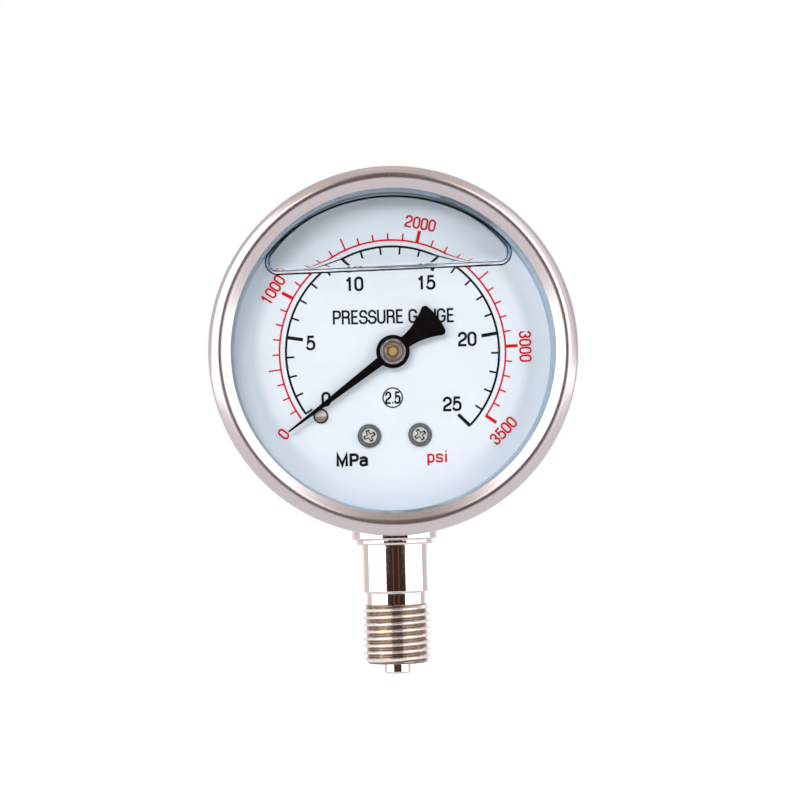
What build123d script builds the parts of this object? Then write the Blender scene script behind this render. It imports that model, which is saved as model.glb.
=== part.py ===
from build123d import *
import os
from math import acos, atan2, ceil, cos, degrees, hypot, pi, radians, sin, tan

# Liquid-filled Bourdon tube pressure gauge, nominal size 63 mm, bottom connection, G 1/4 B thread.
# The front faces -Y and +Z is up. The origin is on the stem's axis, in the end face of the thread,
# where the sealing ring sits. All lengths are in millimetres and all angles in degrees.

# --- Where the dial stands and where each layer lies from front to back ---
DIAL_Z = 58.6              # height of the dial's centre over the thread's end face
BEZEL_FRONT_Y = -23.0
GLASS_FRONT_Y = -21.8
GLASS_BACK_Y = -18.8
FLANGE_FRONT_Y = -17.3
FLANGE_BACK_Y = -16.5
POINTER_FRONT_Y = -16.1
POINTER_BACK_Y = -15.6
DIAL_FRONT_Y = -14.0
DIAL_BACK_Y = -13.4
FRONT_PLATE_FRONT_Y = -11.2
FRONT_PLATE_BACK_Y = -10.2
SECTOR_FRONT_Y = -9.0
SECTOR_BACK_Y = -8.2
LINK_FRONT_Y = -8.1
LINK_BACK_Y = -7.5
HAIRSPRING_FRONT_Y = -6.9
HAIRSPRING_BACK_Y = -6.4
BACK_PLATE_FRONT_Y = -5.7
BACK_PLATE_BACK_Y = -4.5   # also the front face of the socket's block
CASE_BACK_Y = 10.5

# --- Case, bezel and window ---
BEZEL_RADIUS = 34.0
BEZEL_SHEET = 0.7
WINDOW_RADIUS = 29.8       # clear radius inside the bezel's lip
BEZEL_CREST_RADIUS = 31.85
BEZEL_CROWN_RADIUS = 1.36  # rounding of the section at the crest
GASKET_RADIUS = 29.4       # inside of the gasket, which hides the case's wall down to the dial
CASE_RADIUS = 31.0
CASE_WALL = 0.8
CASE_CORNER = 3.0
CASE_FLANGE_RADIUS = 33.0
CASE_DISH_RADIUS = 22.0
CASE_DISH_DEPTH = 0.6
GLASS_RADIUS = 31.0
DIAL_RADIUS = 29.9
PLUG_Y = -4.0
PLUG_HOLE_RADIUS = 4.0

# --- Stem, from the spigot up ---
SPIGOT_RADIUS = 2.5
SPIGOT_LENGTH = 2.0
THREAD_RADIUS = 13.157 / 2
THREAD_DEPTH = 0.856
THREAD_PITCH = 1.337
THREAD_TOP_Z = 10.85
THREAD_CHAMFER = 1.0
NECK_RADIUS = 5.75
BODY_BOTTOM_Z = 13.5
BODY_RADIUS = 6.3
RING_BOTTOM_Z = 22.6
BOSS_BOTTOM_Z = 23.6
RING_RADIUS = 7.4
BOSS_RADIUS = 8.2
STEM_HOLE_RADIUS = THREAD_RADIUS + 0.25
O_RING_Z = 25.4
O_RING_SECTION = 1.0
BORE_RADIUS = 1.5
BLOCK_HALF_WIDTH = 8.5
BLOCK_BACK_Y = 5.0
BLOCK_BOTTOM = -28.35      # block heights are counted from the dial's centre
BLOCK_TOP = -9.1

# --- Bourdon tube ---
TUBE_RADIUS = 22.0         # of its centre line, about the dial's centre
TUBE_ROOT_ANGLE = -100.0   # angles are counted from +X towards +Z, seen from the front
TUBE_SWEEP = 250.0         # clockwise, seen from the front
TUBE_Y = 0.25
TUBE_WIDTH = 7.5
TUBE_THICKNESS = 3.6
TUBE_WALL = 0.55

# --- Gear train: the sector drives the pinion 9 to 1 ---
GEAR_MODULE = 0.2
PINION_TEETH = 15
SECTOR_TEETH = 135         # of the whole circle that the sector is cut from
SECTOR_ANGLE = -45.0       # direction of the sector's pivot from the pinion
PRESSURE_ANGLE = 20.0
BACKLASH = 0.04
POINTER_TRAVEL = 262.0
ARM_LENGTH = 6.0           # from the sector's pivot to its link pin
ARM_MID_ANGLE = -8.0       # the arm's direction at half travel

# --- Link ---
TIP_PIVOT = (18.0, 0.5)    # on the tube's tip block, at rest, from the dial's centre
TIP_SCREW_RADIUS = 0.8
LINK_PIN_RADIUS = 0.6
LINK_SLOT_RADIUS = 0.8     # the pivot where the closed linkage is opened has this extra room

# --- Pointer, dial screws and stop ---
POINTER_REST = -126.3      # clockwise from straight up
POINTER_LENGTH = 24.4
POINTER_DISC_RADIUS = 3.1
HUB_RADIUS = 2.4
SPINDLE_RADIUS = 0.78
STOP_ANGLE = -130.5
STOP_DISTANCE = 17.9
STOP_RADIUS = 1.4
SCREW_SPACING = 9.4
SCREW_DROP = 15.5
DIAL_SCREW_RADIUS = 2.2

# --- Small clearances ---
RUNNING = 0.03             # radial, of a pivot in its bearing
END_PLAY = 0.1

SECTOR_CENTRE_DISTANCE = GEAR_MODULE * (PINION_TEETH + SECTOR_TEETH) / 2
SECTOR_PITCH_RADIUS = GEAR_MODULE * SECTOR_TEETH / 2
PINION_PITCH_RADIUS = GEAR_MODULE * PINION_TEETH / 2
SECTOR_TRAVEL = POINTER_TRAVEL * PINION_TEETH / SECTOR_TEETH
SECTOR_PIVOT = (SECTOR_CENTRE_DISTANCE * cos(radians(SECTOR_ANGLE)),
                SECTOR_CENTRE_DISTANCE * sin(radians(SECTOR_ANGLE)))
ARM_REST_ANGLE = ARM_MID_ANGLE - SECTOR_TRAVEL / 2
LINK_PIN = (SECTOR_PIVOT[0] + ARM_LENGTH * cos(radians(ARM_REST_ANGLE)),
            SECTOR_PIVOT[1] + ARM_LENGTH * sin(radians(ARM_REST_ANGLE)))
DIAL_SCREWS = [(-SCREW_SPACING / 2, -SCREW_DROP), (SCREW_SPACING / 2, -SCREW_DROP)]
MOUNT_SCREWS = [(-5.5, -11.2), (5.0, -11.2)]
PILLARS = [(-7.5, -8.0), (-6.5, 6.5), (12.3, 4.2)]
PLATE_CORNERS = [(-9.6, -13.0), (14.2, -13.3), (14.6, 6.4), (-8.8, 8.8)]


# ---------------------------------------------------------------- helpers
def facing(y):
    """A sketch plane that faces the front at depth y: sketch x is +X, sketch y is +Z, centred on the dial."""
    return Plane(origin=(0, y, DIAL_Z), x_dir=(1, 0, 0), z_dir=(0, -1, 0))


def slab(sketch, y_front, y_back):
    """A flat piece between two depths, from a sketch drawn as seen from the front."""
    return extrude(facing(y_back) * sketch, y_back - y_front)


def turned(points, axis_x=0.0, axis_z=0.0):
    """A solid turned about an axis along Y. The points are (radius, y), the axis is seen from the front."""
    centre = (axis_x, 0, DIAL_Z + axis_z)
    outline = make_face(Polyline(*points, close=True))
    return revolve(Plane(origin=centre, x_dir=(1, 0, 0), z_dir=(0, 0, 1)) * outline,
                   Axis(centre, (0, 1, 0)))


def turned_upright(points):
    """A solid turned about the stem's axis. The points are (radius, z)."""
    return revolve(Plane.XZ * make_face(Polyline(*points, close=True)), Axis.Z)


def rod(radius, y_front, y_back, at=(0, 0)):
    """A round bar along Y between two depths."""
    return turned([(0, y_back), (radius, y_back), (radius, y_front), (0, y_front)], *at)


def polar(distance, clock):
    """A point on the dial's face from a distance and a clockwise angle from straight up."""
    return distance * sin(radians(clock)), distance * cos(radians(clock))


def slotted_screw(at, seat_y, end_y, shank, head, head_height):
    """A cheese-head screw with a driver slot, its head's underside at seat_y and its end at end_y."""
    top = seat_y - head_height
    rim = 0.15
    body = turned([(0, end_y), (shank - rim, end_y), (shank, end_y - rim), (shank, seat_y),
                   (head, seat_y), (head, top + rim), (head - rim, top), (0, top)], *at)
    slot = Pos(*at) * Rot(0, 0, 35) * Rectangle(2 * head + 1, 0.25 * head)
    return body - slab(slot, top - 1, top + 0.45 * head_height)


def gear_tooth(teeth, addendum, dedendum):
    """One involute tooth on +X, from inside the root circle to the tip circle."""
    pitch = GEAR_MODULE * teeth / 2
    base = pitch * cos(radians(PRESSURE_ANGLE))
    tip = pitch + addendum
    root = pitch - dedendum
    half_at_pitch = pi / (2 * teeth) - BACKLASH / (4 * pitch)
    involute_at_pitch = tan(radians(PRESSURE_ANGLE)) - radians(PRESSURE_ANGLE)

    def flank(radius):
        lean = acos(min(1.0, base / radius))
        half = half_at_pitch + involute_at_pitch - (tan(lean) - lean)
        return radius * cos(half), radius * sin(half)

    start = max(base, root)
    side = [flank(start + (tip - start) * i / 4) for i in range(5)]
    foot_half = atan2(side[0][1], side[0][0])
    foot = (root - 0.1) * cos(foot_half), (root - 0.1) * sin(foot_half)
    upper = [foot] + side
    lower = [(x, -y) for x, y in reversed(upper)]
    return make_face(Polyline(*upper, *lower, close=True))


# ---------------------------------------------------------------- case, bezel and window
def case_cup():
    """Deep-drawn cup with a dished back, an outward flange, the stem's hole and the filling hole."""
    r, w, back = CASE_RADIUS, CASE_WALL, CASE_BACK_Y
    c = CASE_CORNER
    dish_y = back - CASE_DISH_DEPTH
    dish = CASE_DISH_RADIUS
    bend = cos(radians(45))
    outside = [
        Line((0, dish_y), (dish, dish_y)),
        Line((dish, dish_y), (dish + 1.2, back)),
        Line((dish + 1.2, back), (r - c, back)),
        ThreePointArc((r - c, back), (r - c + c * bend, back - c + c * bend), (r, back - c)),
        Line((r, back - c), (r, FLANGE_BACK_Y)),
        Line((r, FLANGE_BACK_Y), (CASE_FLANGE_RADIUS, FLANGE_BACK_Y)),
        Line((CASE_FLANGE_RADIUS, FLANGE_BACK_Y), (CASE_FLANGE_RADIUS, FLANGE_FRONT_Y)),
        Line((CASE_FLANGE_RADIUS, FLANGE_FRONT_Y), (r - w, FLANGE_FRONT_Y)),
        Line((r - w, FLANGE_FRONT_Y), (r - w, back - c)),
        ThreePointArc((r - w, back - c), (r - c + (c - w) * bend, back - c + (c - w) * bend),
                      (r - c, back - w)),
        Line((r - c, back - w), (dish + 0.9, back - w)),
        Line((dish + 0.9, back - w), (dish - 0.3, dish_y - w)),
        Line((dish - 0.3, dish_y - w), (0, dish_y - w)),
        Line((0, dish_y - w), (0, dish_y)),
    ]
    face = Plane(origin=(0, 0, DIAL_Z), x_dir=(1, 0, 0), z_dir=(0, 0, 1)) * make_face(outside)
    cup = revolve(face, Axis((0, 0, DIAL_Z), (0, 1, 0)))
    stem_hole = Pos(0, 0, DIAL_Z - r) * Cylinder(STEM_HOLE_RADIUS, 8)
    plug_hole = Pos(0, PLUG_Y, DIAL_Z + r) * Cylinder(PLUG_HOLE_RADIUS, 8)
    return cup - stem_hole - plug_hole


def bezel_ring():
    """Crimped ring: a lip over the window, slopes that meet at a crest, a skirt and the crimp behind."""
    edge, front, seat = BEZEL_RADIUS, BEZEL_FRONT_Y, GLASS_FRONT_Y
    lip, sheet = WINDOW_RADIUS, BEZEL_SHEET
    crest, crown = BEZEL_CREST_RADIUS, BEZEL_CROWN_RADIUS
    half, drop = crown * sin(radians(34)), crown * (1 - cos(radians(34)))
    rim = front + 0.9
    outline = [
        Line((lip, seat), (lip, seat - 0.1)),
        Line((lip, seat - 0.1), (crest - half, front + drop)),
        ThreePointArc((crest - half, front + drop), (crest, front), (crest + half, front + drop)),
        Line((crest + half, front + drop), (edge - 0.4, rim)),
        ThreePointArc((edge - 0.4, rim), (edge - 0.1, rim + 0.33), (edge, rim + 0.75)),
        Line((edge, rim + 0.75), (edge, FLANGE_BACK_Y + 0.1)),
        ThreePointArc((edge, FLANGE_BACK_Y + 0.1), (edge - 0.2, FLANGE_BACK_Y + 0.5),
                      (edge - 0.6, FLANGE_BACK_Y + sheet)),
        Line((edge - 0.6, FLANGE_BACK_Y + sheet), (CASE_RADIUS + 0.7, FLANGE_BACK_Y + sheet)),
        Line((CASE_RADIUS + 0.7, FLANGE_BACK_Y + sheet), (CASE_RADIUS + 0.7, FLANGE_BACK_Y)),
        Line((CASE_RADIUS + 0.7, FLANGE_BACK_Y), (edge - sheet, FLANGE_BACK_Y)),
        Line((edge - sheet, FLANGE_BACK_Y), (edge - sheet, seat - 0.1)),
        Line((edge - sheet, seat - 0.1), (edge - 1.6, seat)),
        Line((edge - 1.6, seat), (lip, seat)),
    ]
    face = Plane(origin=(0, 0, DIAL_Z), x_dir=(1, 0, 0), z_dir=(0, 0, 1)) * make_face(outline)
    return revolve(face, Axis((0, 0, DIAL_Z), (0, 1, 0)))


def window_glass():
    r, f, b = GLASS_RADIUS, GLASS_FRONT_Y, GLASS_BACK_Y
    bevel = 0.4
    return turned([(0, b), (r - bevel, b), (r, b - bevel), (r, f + bevel), (r - bevel, f), (0, f)])


def window_gasket():
    """Rubber ring: the seat behind the window's edge, the collar around it, and a skirt down to the dial."""
    inner, outer = GASKET_RADIUS, BEZEL_RADIUS - BEZEL_SHEET - 0.3
    skirt = CASE_RADIUS - CASE_WALL - 0.05
    return turned([(skirt, FLANGE_FRONT_Y), (outer, FLANGE_FRONT_Y), (outer, GLASS_FRONT_Y + 0.2),
                   (GLASS_RADIUS, GLASS_FRONT_Y + 0.45), (GLASS_RADIUS, GLASS_BACK_Y - 0.4),
                   (GLASS_RADIUS - 0.4, GLASS_BACK_Y), (inner, GLASS_BACK_Y),
                   (inner, DIAL_FRONT_Y - 0.1), (skirt, DIAL_FRONT_Y - 0.1)])


def filling_plug():
    """Rubber plug in the case's top, also the blow-out vent: a domed head, a neck and a barb inside."""
    top = CASE_RADIUS + 1.7
    inside = CASE_RADIUS - CASE_WALL
    neck = PLUG_HOLE_RADIUS
    body = turned_upright([(0, inside - 1.6), (neck - 0.9, inside - 1.6), (neck + 0.5, inside - 0.5),
                           (neck, inside - 0.5), (neck, CASE_RADIUS - 0.2), (neck + 1.6, CASE_RADIUS - 0.2),
                           (neck + 1.6, top - 0.6), (neck + 0.6, top), (0, top)])
    body = Pos(0, PLUG_Y, DIAL_Z) * body
    shell = Pos(0, PLUG_Y, DIAL_Z) * Rot(90, 0, 0) * (Cylinder(CASE_RADIUS, 30) - Cylinder(inside, 30))
    hole = Pos(0, PLUG_Y, DIAL_Z + CASE_RADIUS) * Cylinder(neck, 8)
    return body - (shell - hole)


def case_boss():
    """Thin round boss welded to the case's bottom, around the stem."""
    ring = Pos(0, 0, BOSS_BOTTOM_Z + 3) * (Cylinder(BOSS_RADIUS, 6) - Cylinder(STEM_HOLE_RADIUS, 6))
    ring = chamfer(ring.faces().sort_by(Axis.Z)[0].outer_wire().edges(), 0.25)
    inside = Pos(0, 0, DIAL_Z) * Rot(90, 0, 0) * Cylinder(CASE_RADIUS - CASE_WALL / 2, 40)
    return ring - inside - case_cup()


# ---------------------------------------------------------------- stem and its small parts
def thread_outline():
    """(radius, z) points up the thread: crest lands at the full diameter with ring grooves between them."""
    crest = 0.2
    root = 0.2
    points = []
    z = THREAD_CHAMFER
    while z + THREAD_PITCH < THREAD_TOP_Z - crest:
        flank = (THREAD_PITCH - crest - root) / 2
        points += [(THREAD_RADIUS, z), (THREAD_RADIUS, z + crest),
                   (THREAD_RADIUS - THREAD_DEPTH, z + crest + flank),
                   (THREAD_RADIUS - THREAD_DEPTH, z + crest + flank + root)]
        z += THREAD_PITCH
    return points + [(THREAD_RADIUS, z), (THREAD_RADIUS, THREAD_TOP_Z - 0.3)]


def socket():
    """Stem and block in one piece: spigot, thread, neck, round body, and the block that carries the works."""
    bottom = THREAD_RADIUS - THREAD_CHAMFER
    block_z = DIAL_Z + BLOCK_BOTTOM
    groove = O_RING_SECTION
    stem = turned_upright(
        [(0, -SPIGOT_LENGTH), (SPIGOT_RADIUS - 0.3, -SPIGOT_LENGTH), (SPIGOT_RADIUS, -SPIGOT_LENGTH + 0.3),
         (SPIGOT_RADIUS, 0), (bottom, 0)]
        + thread_outline()
        + [(NECK_RADIUS, THREAD_TOP_Z + 0.4), (NECK_RADIUS, BODY_BOTTOM_Z),
           (BODY_RADIUS - 0.2, BODY_BOTTOM_Z), (BODY_RADIUS, BODY_BOTTOM_Z + 0.2),
           (BODY_RADIUS, O_RING_Z - groove), (BODY_RADIUS - groove, O_RING_Z - groove),
           (BODY_RADIUS - groove, O_RING_Z + groove), (BODY_RADIUS, O_RING_Z + groove),
           (BODY_RADIUS, block_z + 1), (0, block_z + 1)])
    depth = BLOCK_BACK_Y - BACK_PLATE_BACK_Y
    height = BLOCK_TOP - BLOCK_BOTTOM
    block = Box(2 * BLOCK_HALF_WIDTH, depth, height)
    block = Pos(0, (BLOCK_BACK_Y + BACK_PLATE_BACK_Y) / 2, block_z + height / 2) * block
    block = fillet(block.edges().filter_by(Axis.Y), 1.2)
    body = stem + block
    bore_top = DIAL_Z - TUBE_RADIUS + 1.2
    body -= Pos(0, 0, (bore_top - SPIGOT_LENGTH) / 2) * Cylinder(BORE_RADIUS, bore_top + SPIGOT_LENGTH)
    cross = 4.0
    body -= Pos(-cross / 2, TUBE_Y, DIAL_Z - TUBE_RADIUS) * Rot(0, 90, 0) * Cylinder(1.1, cross)
    body -= tube_sweep(TUBE_WIDTH, TUBE_THICKNESS)
    for at in DIAL_SCREWS:
        body -= rod(1.05, BACK_PLATE_BACK_Y - 1, BACK_PLATE_BACK_Y + 3.2, at)
    for at in MOUNT_SCREWS:
        body -= rod(1.05, BACK_PLATE_BACK_Y - 1, BACK_PLATE_BACK_Y + 4.0, at)
    return body


def restrictor_screw():
    """Slotted plug with a fine hole, in the mouth of the stem's bore, which damps pressure spikes."""
    r = BORE_RADIUS - 0.02
    bottom = -SPIGOT_LENGTH + 0.5
    body = turned_upright([(0.25, bottom), (r - 0.15, bottom), (r, bottom + 0.15), (r, bottom + 4),
                           (0.25, bottom + 4)])
    return body - Pos(0, 0, bottom) * Box(4, 0.5, 1.4)


def stem_retaining_ring():
    """Split ring on the stem, under the case's boss."""
    height = BOSS_BOTTOM_Z - RING_BOTTOM_Z
    ring = Cylinder(RING_RADIUS, height) - Cylinder(BODY_RADIUS, height)
    ring = Pos(0, 0, RING_BOTTOM_Z + height / 2) * ring
    ring = chamfer(ring.faces().sort_by(Axis.Z)[0].outer_wire().edges(), 0.45)
    return ring - Pos(0, RING_RADIUS, RING_BOTTOM_Z) * Box(1.6, 4, 4)


def stem_o_ring():
    """Sealing ring in the stem's groove, inside the boss, a little flattened by it."""
    middle = BODY_RADIUS - O_RING_SECTION + (STEM_HOLE_RADIUS - BODY_RADIUS + O_RING_SECTION) / 2
    height = 1.7
    width = STEM_HOLE_RADIUS - BODY_RADIUS + O_RING_SECTION
    section = Pos(middle, O_RING_Z) * RectangleRounded(width, height, 0.5)
    return revolve(Plane.XZ * section, Axis.Z)


# ---------------------------------------------------------------- Bourdon tube and its tip
def tube_sweep(width, thickness, sweep=TUBE_SWEEP):
    """The C of the Bourdon tube as a solid of the given oval section."""
    out_x, out_z = cos(radians(TUBE_ROOT_ANGLE)), sin(radians(TUBE_ROOT_ANGLE))
    start = Plane(origin=(0, 0, DIAL_Z), x_dir=(out_x, 0, out_z), z_dir=(out_z, 0, -out_x))
    centre = start.to_local_coords(Vector(TUBE_RADIUS * out_x, TUBE_Y, DIAL_Z + TUBE_RADIUS * out_z))
    oval = Pos(centre.X, centre.Y) * Rot(0, 0, 90) * SlotOverall(width, thickness)
    return revolve(start * oval, Axis((0, 0, DIAL_Z), (0, 1, 0)), sweep)


def bourdon_tube():
    inside = tube_sweep(TUBE_WIDTH - 2 * TUBE_WALL, TUBE_THICKNESS - 2 * TUBE_WALL)
    return tube_sweep(TUBE_WIDTH, TUBE_THICKNESS) - inside


def tube_tip_block():
    """Cap that closes the tube's end, with the lug that holds the link's screw in front."""
    end = TUBE_ROOT_ANGLE - TUBE_SWEEP
    cap_z = 5.6
    end_x, end_z = TUBE_RADIUS * cos(radians(end)), TUBE_RADIUS * sin(radians(end))
    at_end = Pos(end_x, TUBE_Y, DIAL_Z + end_z) * Rot(0, -end, 0)
    cap = at_end * Pos(0, 0, -cap_z / 2 + 1.8) * Box(TUBE_THICKNESS + 1.6, TUBE_WIDTH + 1.6, cap_z)
    cap = fillet(cap.edges().filter_by(lambda e: e.length > TUBE_WIDTH + 1), 0.7)
    lug_back = TUBE_Y - TUBE_WIDTH / 2
    round_ends = [Pos(*TIP_PIVOT) * Circle(1.6), Pos(end_x, end_z - 1.6) * Circle(1.6)]
    outline = make_hull([edge for end_circle in round_ends for edge in end_circle.edges()])
    lug = slab(outline, LINK_BACK_Y + 0.1, lug_back)
    block = cap + lug - tube_sweep(TUBE_WIDTH, TUBE_THICKNESS)
    return block - rod(TIP_SCREW_RADIUS, LINK_BACK_Y - 1, LINK_BACK_Y + 3.6, TIP_PIVOT)


def tip_link_screw():
    return slotted_screw(TIP_PIVOT, LINK_FRONT_Y - 0.1, LINK_BACK_Y + 3.4, TIP_SCREW_RADIUS, 1.4, 0.8)


def drive_link():
    """Flat link from the tube's tip to the sector's arm, with a round eye at each end."""
    eyes = Pos(*TIP_PIVOT) * Circle(1.5) + Pos(*LINK_PIN) * Circle(1.5)
    run = hypot(TIP_PIVOT[0] - LINK_PIN[0], TIP_PIVOT[1] - LINK_PIN[1])
    lean = degrees(atan2(TIP_PIVOT[1] - LINK_PIN[1], TIP_PIVOT[0] - LINK_PIN[0]))
    middle = (TIP_PIVOT[0] + LINK_PIN[0]) / 2, (TIP_PIVOT[1] + LINK_PIN[1]) / 2
    bar = Pos(*middle) * Rot(0, 0, lean) * Rectangle(run, 1.5)
    holes = Pos(*TIP_PIVOT) * Circle(TIP_SCREW_RADIUS + 0.05) + Pos(*LINK_PIN) * Circle(LINK_SLOT_RADIUS)
    return slab(eyes + bar - holes, LINK_FRONT_Y, LINK_BACK_Y)


# ---------------------------------------------------------------- movement
def plate_outline():
    outline = make_face(Polyline(*PLATE_CORNERS, close=True))
    return fillet(outline.vertices(), 2.0)


def movement_back_plate():
    holes = Circle(0.5 + RUNNING) + Pos(*SECTOR_PIVOT) * Circle(0.5 + RUNNING)
    for at in PILLARS:
        holes += Pos(*at) * Circle(0.9)
    for at in MOUNT_SCREWS:
        holes += Pos(*at) * Circle(1.1)
    return slab(plate_outline() - holes, BACK_PLATE_FRONT_Y, BACK_PLATE_BACK_Y)


def movement_front_plate():
    holes = Circle(0.85 + RUNNING) + Pos(*SECTOR_PIVOT) * Circle(0.5 + RUNNING)
    for at in PILLARS:
        holes += Pos(*at) * Circle(0.8)
    for at in MOUNT_SCREWS:
        holes += Pos(*at) * Circle(1.8)
    return slab(plate_outline() - holes, FRONT_PLATE_FRONT_Y, FRONT_PLATE_BACK_Y)


def movement_pillars():
    """Three posts riveted into the back plate, each bored for its screw."""
    posts = []
    for at in PILLARS:
        post = turned([(0, BACK_PLATE_BACK_Y), (0.9, BACK_PLATE_BACK_Y), (0.9, BACK_PLATE_FRONT_Y),
                       (1.5, BACK_PLATE_FRONT_Y), (1.5, FRONT_PLATE_BACK_Y), (0, FRONT_PLATE_BACK_Y)], *at)
        posts.append(post - rod(0.75, FRONT_PLATE_BACK_Y - 1, FRONT_PLATE_BACK_Y + 3.2, at))
    return posts


def movement_screws():
    return [slotted_screw(at, FRONT_PLATE_FRONT_Y, FRONT_PLATE_BACK_Y + 3.0, 0.75, 1.4, 1.0)
            for at in PILLARS]


def mount_screws():
    return [slotted_screw(at, BACK_PLATE_FRONT_Y, BACK_PLATE_BACK_Y + 3.8, 1.05, 1.65, 1.0)
            for at in MOUNT_SCREWS]


def sector_gear():
    """Toothed rim on two arms, the hub, and the tail arm that the link drives."""
    toward_pinion = SECTOR_ANGLE + 180
    step = 360 / SECTOR_TEETH
    ahead = 1.5
    behind = SECTOR_TRAVEL / step + 1.5
    root = SECTOR_PITCH_RADIUS - 1.25 * GEAR_MODULE
    rim_inner = root - 1.6
    first = toward_pinion - ceil(behind) * step
    last = toward_pinion + ceil(ahead) * step
    rim = Circle(root) - Circle(rim_inner)
    wedge = [(0, 0)]
    for a in (first, (first + last) / 2, last):
        wedge.append((30 * cos(radians(a)), 30 * sin(radians(a))))
    body = rim & make_face(Polyline(*wedge, close=True))
    for a in (first + 2.5, last - 2.5):
        body += Rot(0, 0, a) * Pos(rim_inner / 2 + 0.2, 0) * Rectangle(rim_inner + 0.4, 1.5)
    body += Circle(2.6)
    body += Rot(0, 0, ARM_REST_ANGLE) * Pos(ARM_LENGTH / 2, 0) * Rectangle(ARM_LENGTH, 2.0)
    body += Rot(0, 0, ARM_REST_ANGLE) * Pos(ARM_LENGTH, 0) * Circle(1.4)
    tooth = gear_tooth(SECTOR_TEETH, 0.9 * GEAR_MODULE, 1.25 * GEAR_MODULE)
    for i in range(round((last - first) / step)):
        body += Rot(0, 0, first + (i + 0.5) * step) * tooth
    body -= Circle(0.9)
    body -= Rot(0, 0, ARM_REST_ANGLE) * Pos(ARM_LENGTH, 0) * Circle(LINK_PIN_RADIUS)
    return slab(Pos(*SECTOR_PIVOT) * body, SECTOR_FRONT_Y, SECTOR_BACK_Y)


def sector_stop_pins():
    """Two pins on the back plate that stop the sector's arms just past the ends of its travel."""
    toward_pinion = SECTOR_ANGLE + 180
    step = 360 / SECTOR_TEETH
    rest_arm = toward_pinion - ceil(SECTOR_TRAVEL / step + 1.5) * step + 2.5
    end_arm = toward_pinion + 2 * step - 2.5 + SECTOR_TRAVEL
    reach, radius = 8.0, 0.6
    beside = 0.75 + radius + 0.08
    pins = []
    for arm, side in ((rest_arm, -1), (end_arm, 1)):
        at = (SECTOR_PIVOT[0] + reach * cos(radians(arm)) - side * beside * sin(radians(arm)),
              SECTOR_PIVOT[1] + reach * sin(radians(arm)) + side * beside * cos(radians(arm)))
        pins.append(rod(radius, SECTOR_FRONT_Y - 0.3, BACK_PLATE_FRONT_Y, at))
    return pins


def sector_arbor():
    """Shaft of the sector: a body with a flange, and a pivot at each end."""
    front, back = FRONT_PLATE_BACK_Y + END_PLAY, BACK_PLATE_FRONT_Y - END_PLAY
    return turned([(0, BACK_PLATE_BACK_Y), (0.5, BACK_PLATE_BACK_Y), (0.5, back), (1.3, back),
                   (1.3, SECTOR_BACK_Y + 0.5), (1.8, SECTOR_BACK_Y + 0.5), (1.8, SECTOR_BACK_Y),
                   (0.9, SECTOR_BACK_Y), (0.9, SECTOR_FRONT_Y), (1.2, SECTOR_FRONT_Y), (1.2, front),
                   (0.5, front), (0.5, FRONT_PLATE_FRONT_Y), (0, FRONT_PLATE_FRONT_Y)], *SECTOR_PIVOT)


def sector_link_pin():
    """Pin riveted in the sector's tail, with a head behind the link."""
    r = LINK_PIN_RADIUS
    return turned([(0, LINK_BACK_Y + 0.6), (1.2, LINK_BACK_Y + 0.6), (1.2, LINK_BACK_Y + 0.1),
                   (r, LINK_BACK_Y + 0.1), (r, SECTOR_FRONT_Y), (1.0, SECTOR_FRONT_Y),
                   (0.7, SECTOR_FRONT_Y - 0.3),
                   (0, SECTOR_FRONT_Y - 0.3)], *LINK_PIN)


def pinion_shaft():
    """Spindle with its pinion teeth cut in one piece, from the back pivot to the pointer's end."""
    front, back = FRONT_PLATE_BACK_Y + END_PLAY, BACK_PLATE_FRONT_Y - END_PLAY
    teeth_front, teeth_back = SECTOR_FRONT_Y - 0.5, SECTOR_BACK_Y + 0.7
    root = PINION_PITCH_RADIUS - 1.25 * GEAR_MODULE
    tip_y = POINTER_FRONT_Y - 1.1
    shaft = turned([(0, BACK_PLATE_BACK_Y), (0.5, BACK_PLATE_BACK_Y), (0.5, back), (0.9, back),
                    (0.9, teeth_back), (root, teeth_back), (root, teeth_front), (1.1, teeth_front),
                    (1.1, front), (0.85, front), (0.85, POINTER_BACK_Y + 0.9),
                    (SPINDLE_RADIUS, POINTER_BACK_Y + 0.8), (SPINDLE_RADIUS, tip_y + 0.1),
                    (SPINDLE_RADIUS - 0.1, tip_y), (0, tip_y)])
    tooth = gear_tooth(PINION_TEETH, GEAR_MODULE, 1.25 * GEAR_MODULE)
    teeth = Circle(root)
    for i in range(PINION_TEETH):
        teeth += Rot(0, 0, SECTOR_ANGLE + i * 360 / PINION_TEETH) * tooth
    return shaft + slab(teeth, teeth_front, teeth_back)


def hairspring_collet():
    front, back = HAIRSPRING_FRONT_Y - 0.2, HAIRSPRING_BACK_Y + 0.2
    return turned([(0.9, back), (1.5, back), (1.5, front), (0.9, front)])


def spiral_point(turns, inner, pitch, side):
    """A point on the hairspring's spiral, shifted sideways by side."""
    angle = radians(360 * turns + 200)
    radius = inner + pitch * turns + side
    return radius * cos(angle), radius * sin(angle)


def hairspring():
    """Flat spiral spring of five turns from the collet out to the stud."""
    turns, inner, pitch, half = 5.0, 1.6, 0.8, 0.07
    steps = int(turns * 12)
    side_in = [spiral_point(turns * i / steps, inner, pitch, -half) for i in range(steps + 1)]
    side_out = [spiral_point(turns * i / steps, inner, pitch, half) for i in range(steps + 1)]
    band = make_face([Spline(*side_in), Line(side_in[-1], side_out[-1]),
                      Spline(*side_out), Line(side_out[0], side_in[0])])
    return slab(band, HAIRSPRING_FRONT_Y, HAIRSPRING_BACK_Y)


def hairspring_stud():
    """Post on the back plate that holds the hairspring's outer end in a slot."""
    at = spiral_point(5.0, 1.6, 0.8, 0.0)
    post = rod(0.8, HAIRSPRING_FRONT_Y - 0.2, BACK_PLATE_FRONT_Y, at)
    return post - hairspring()


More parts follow.
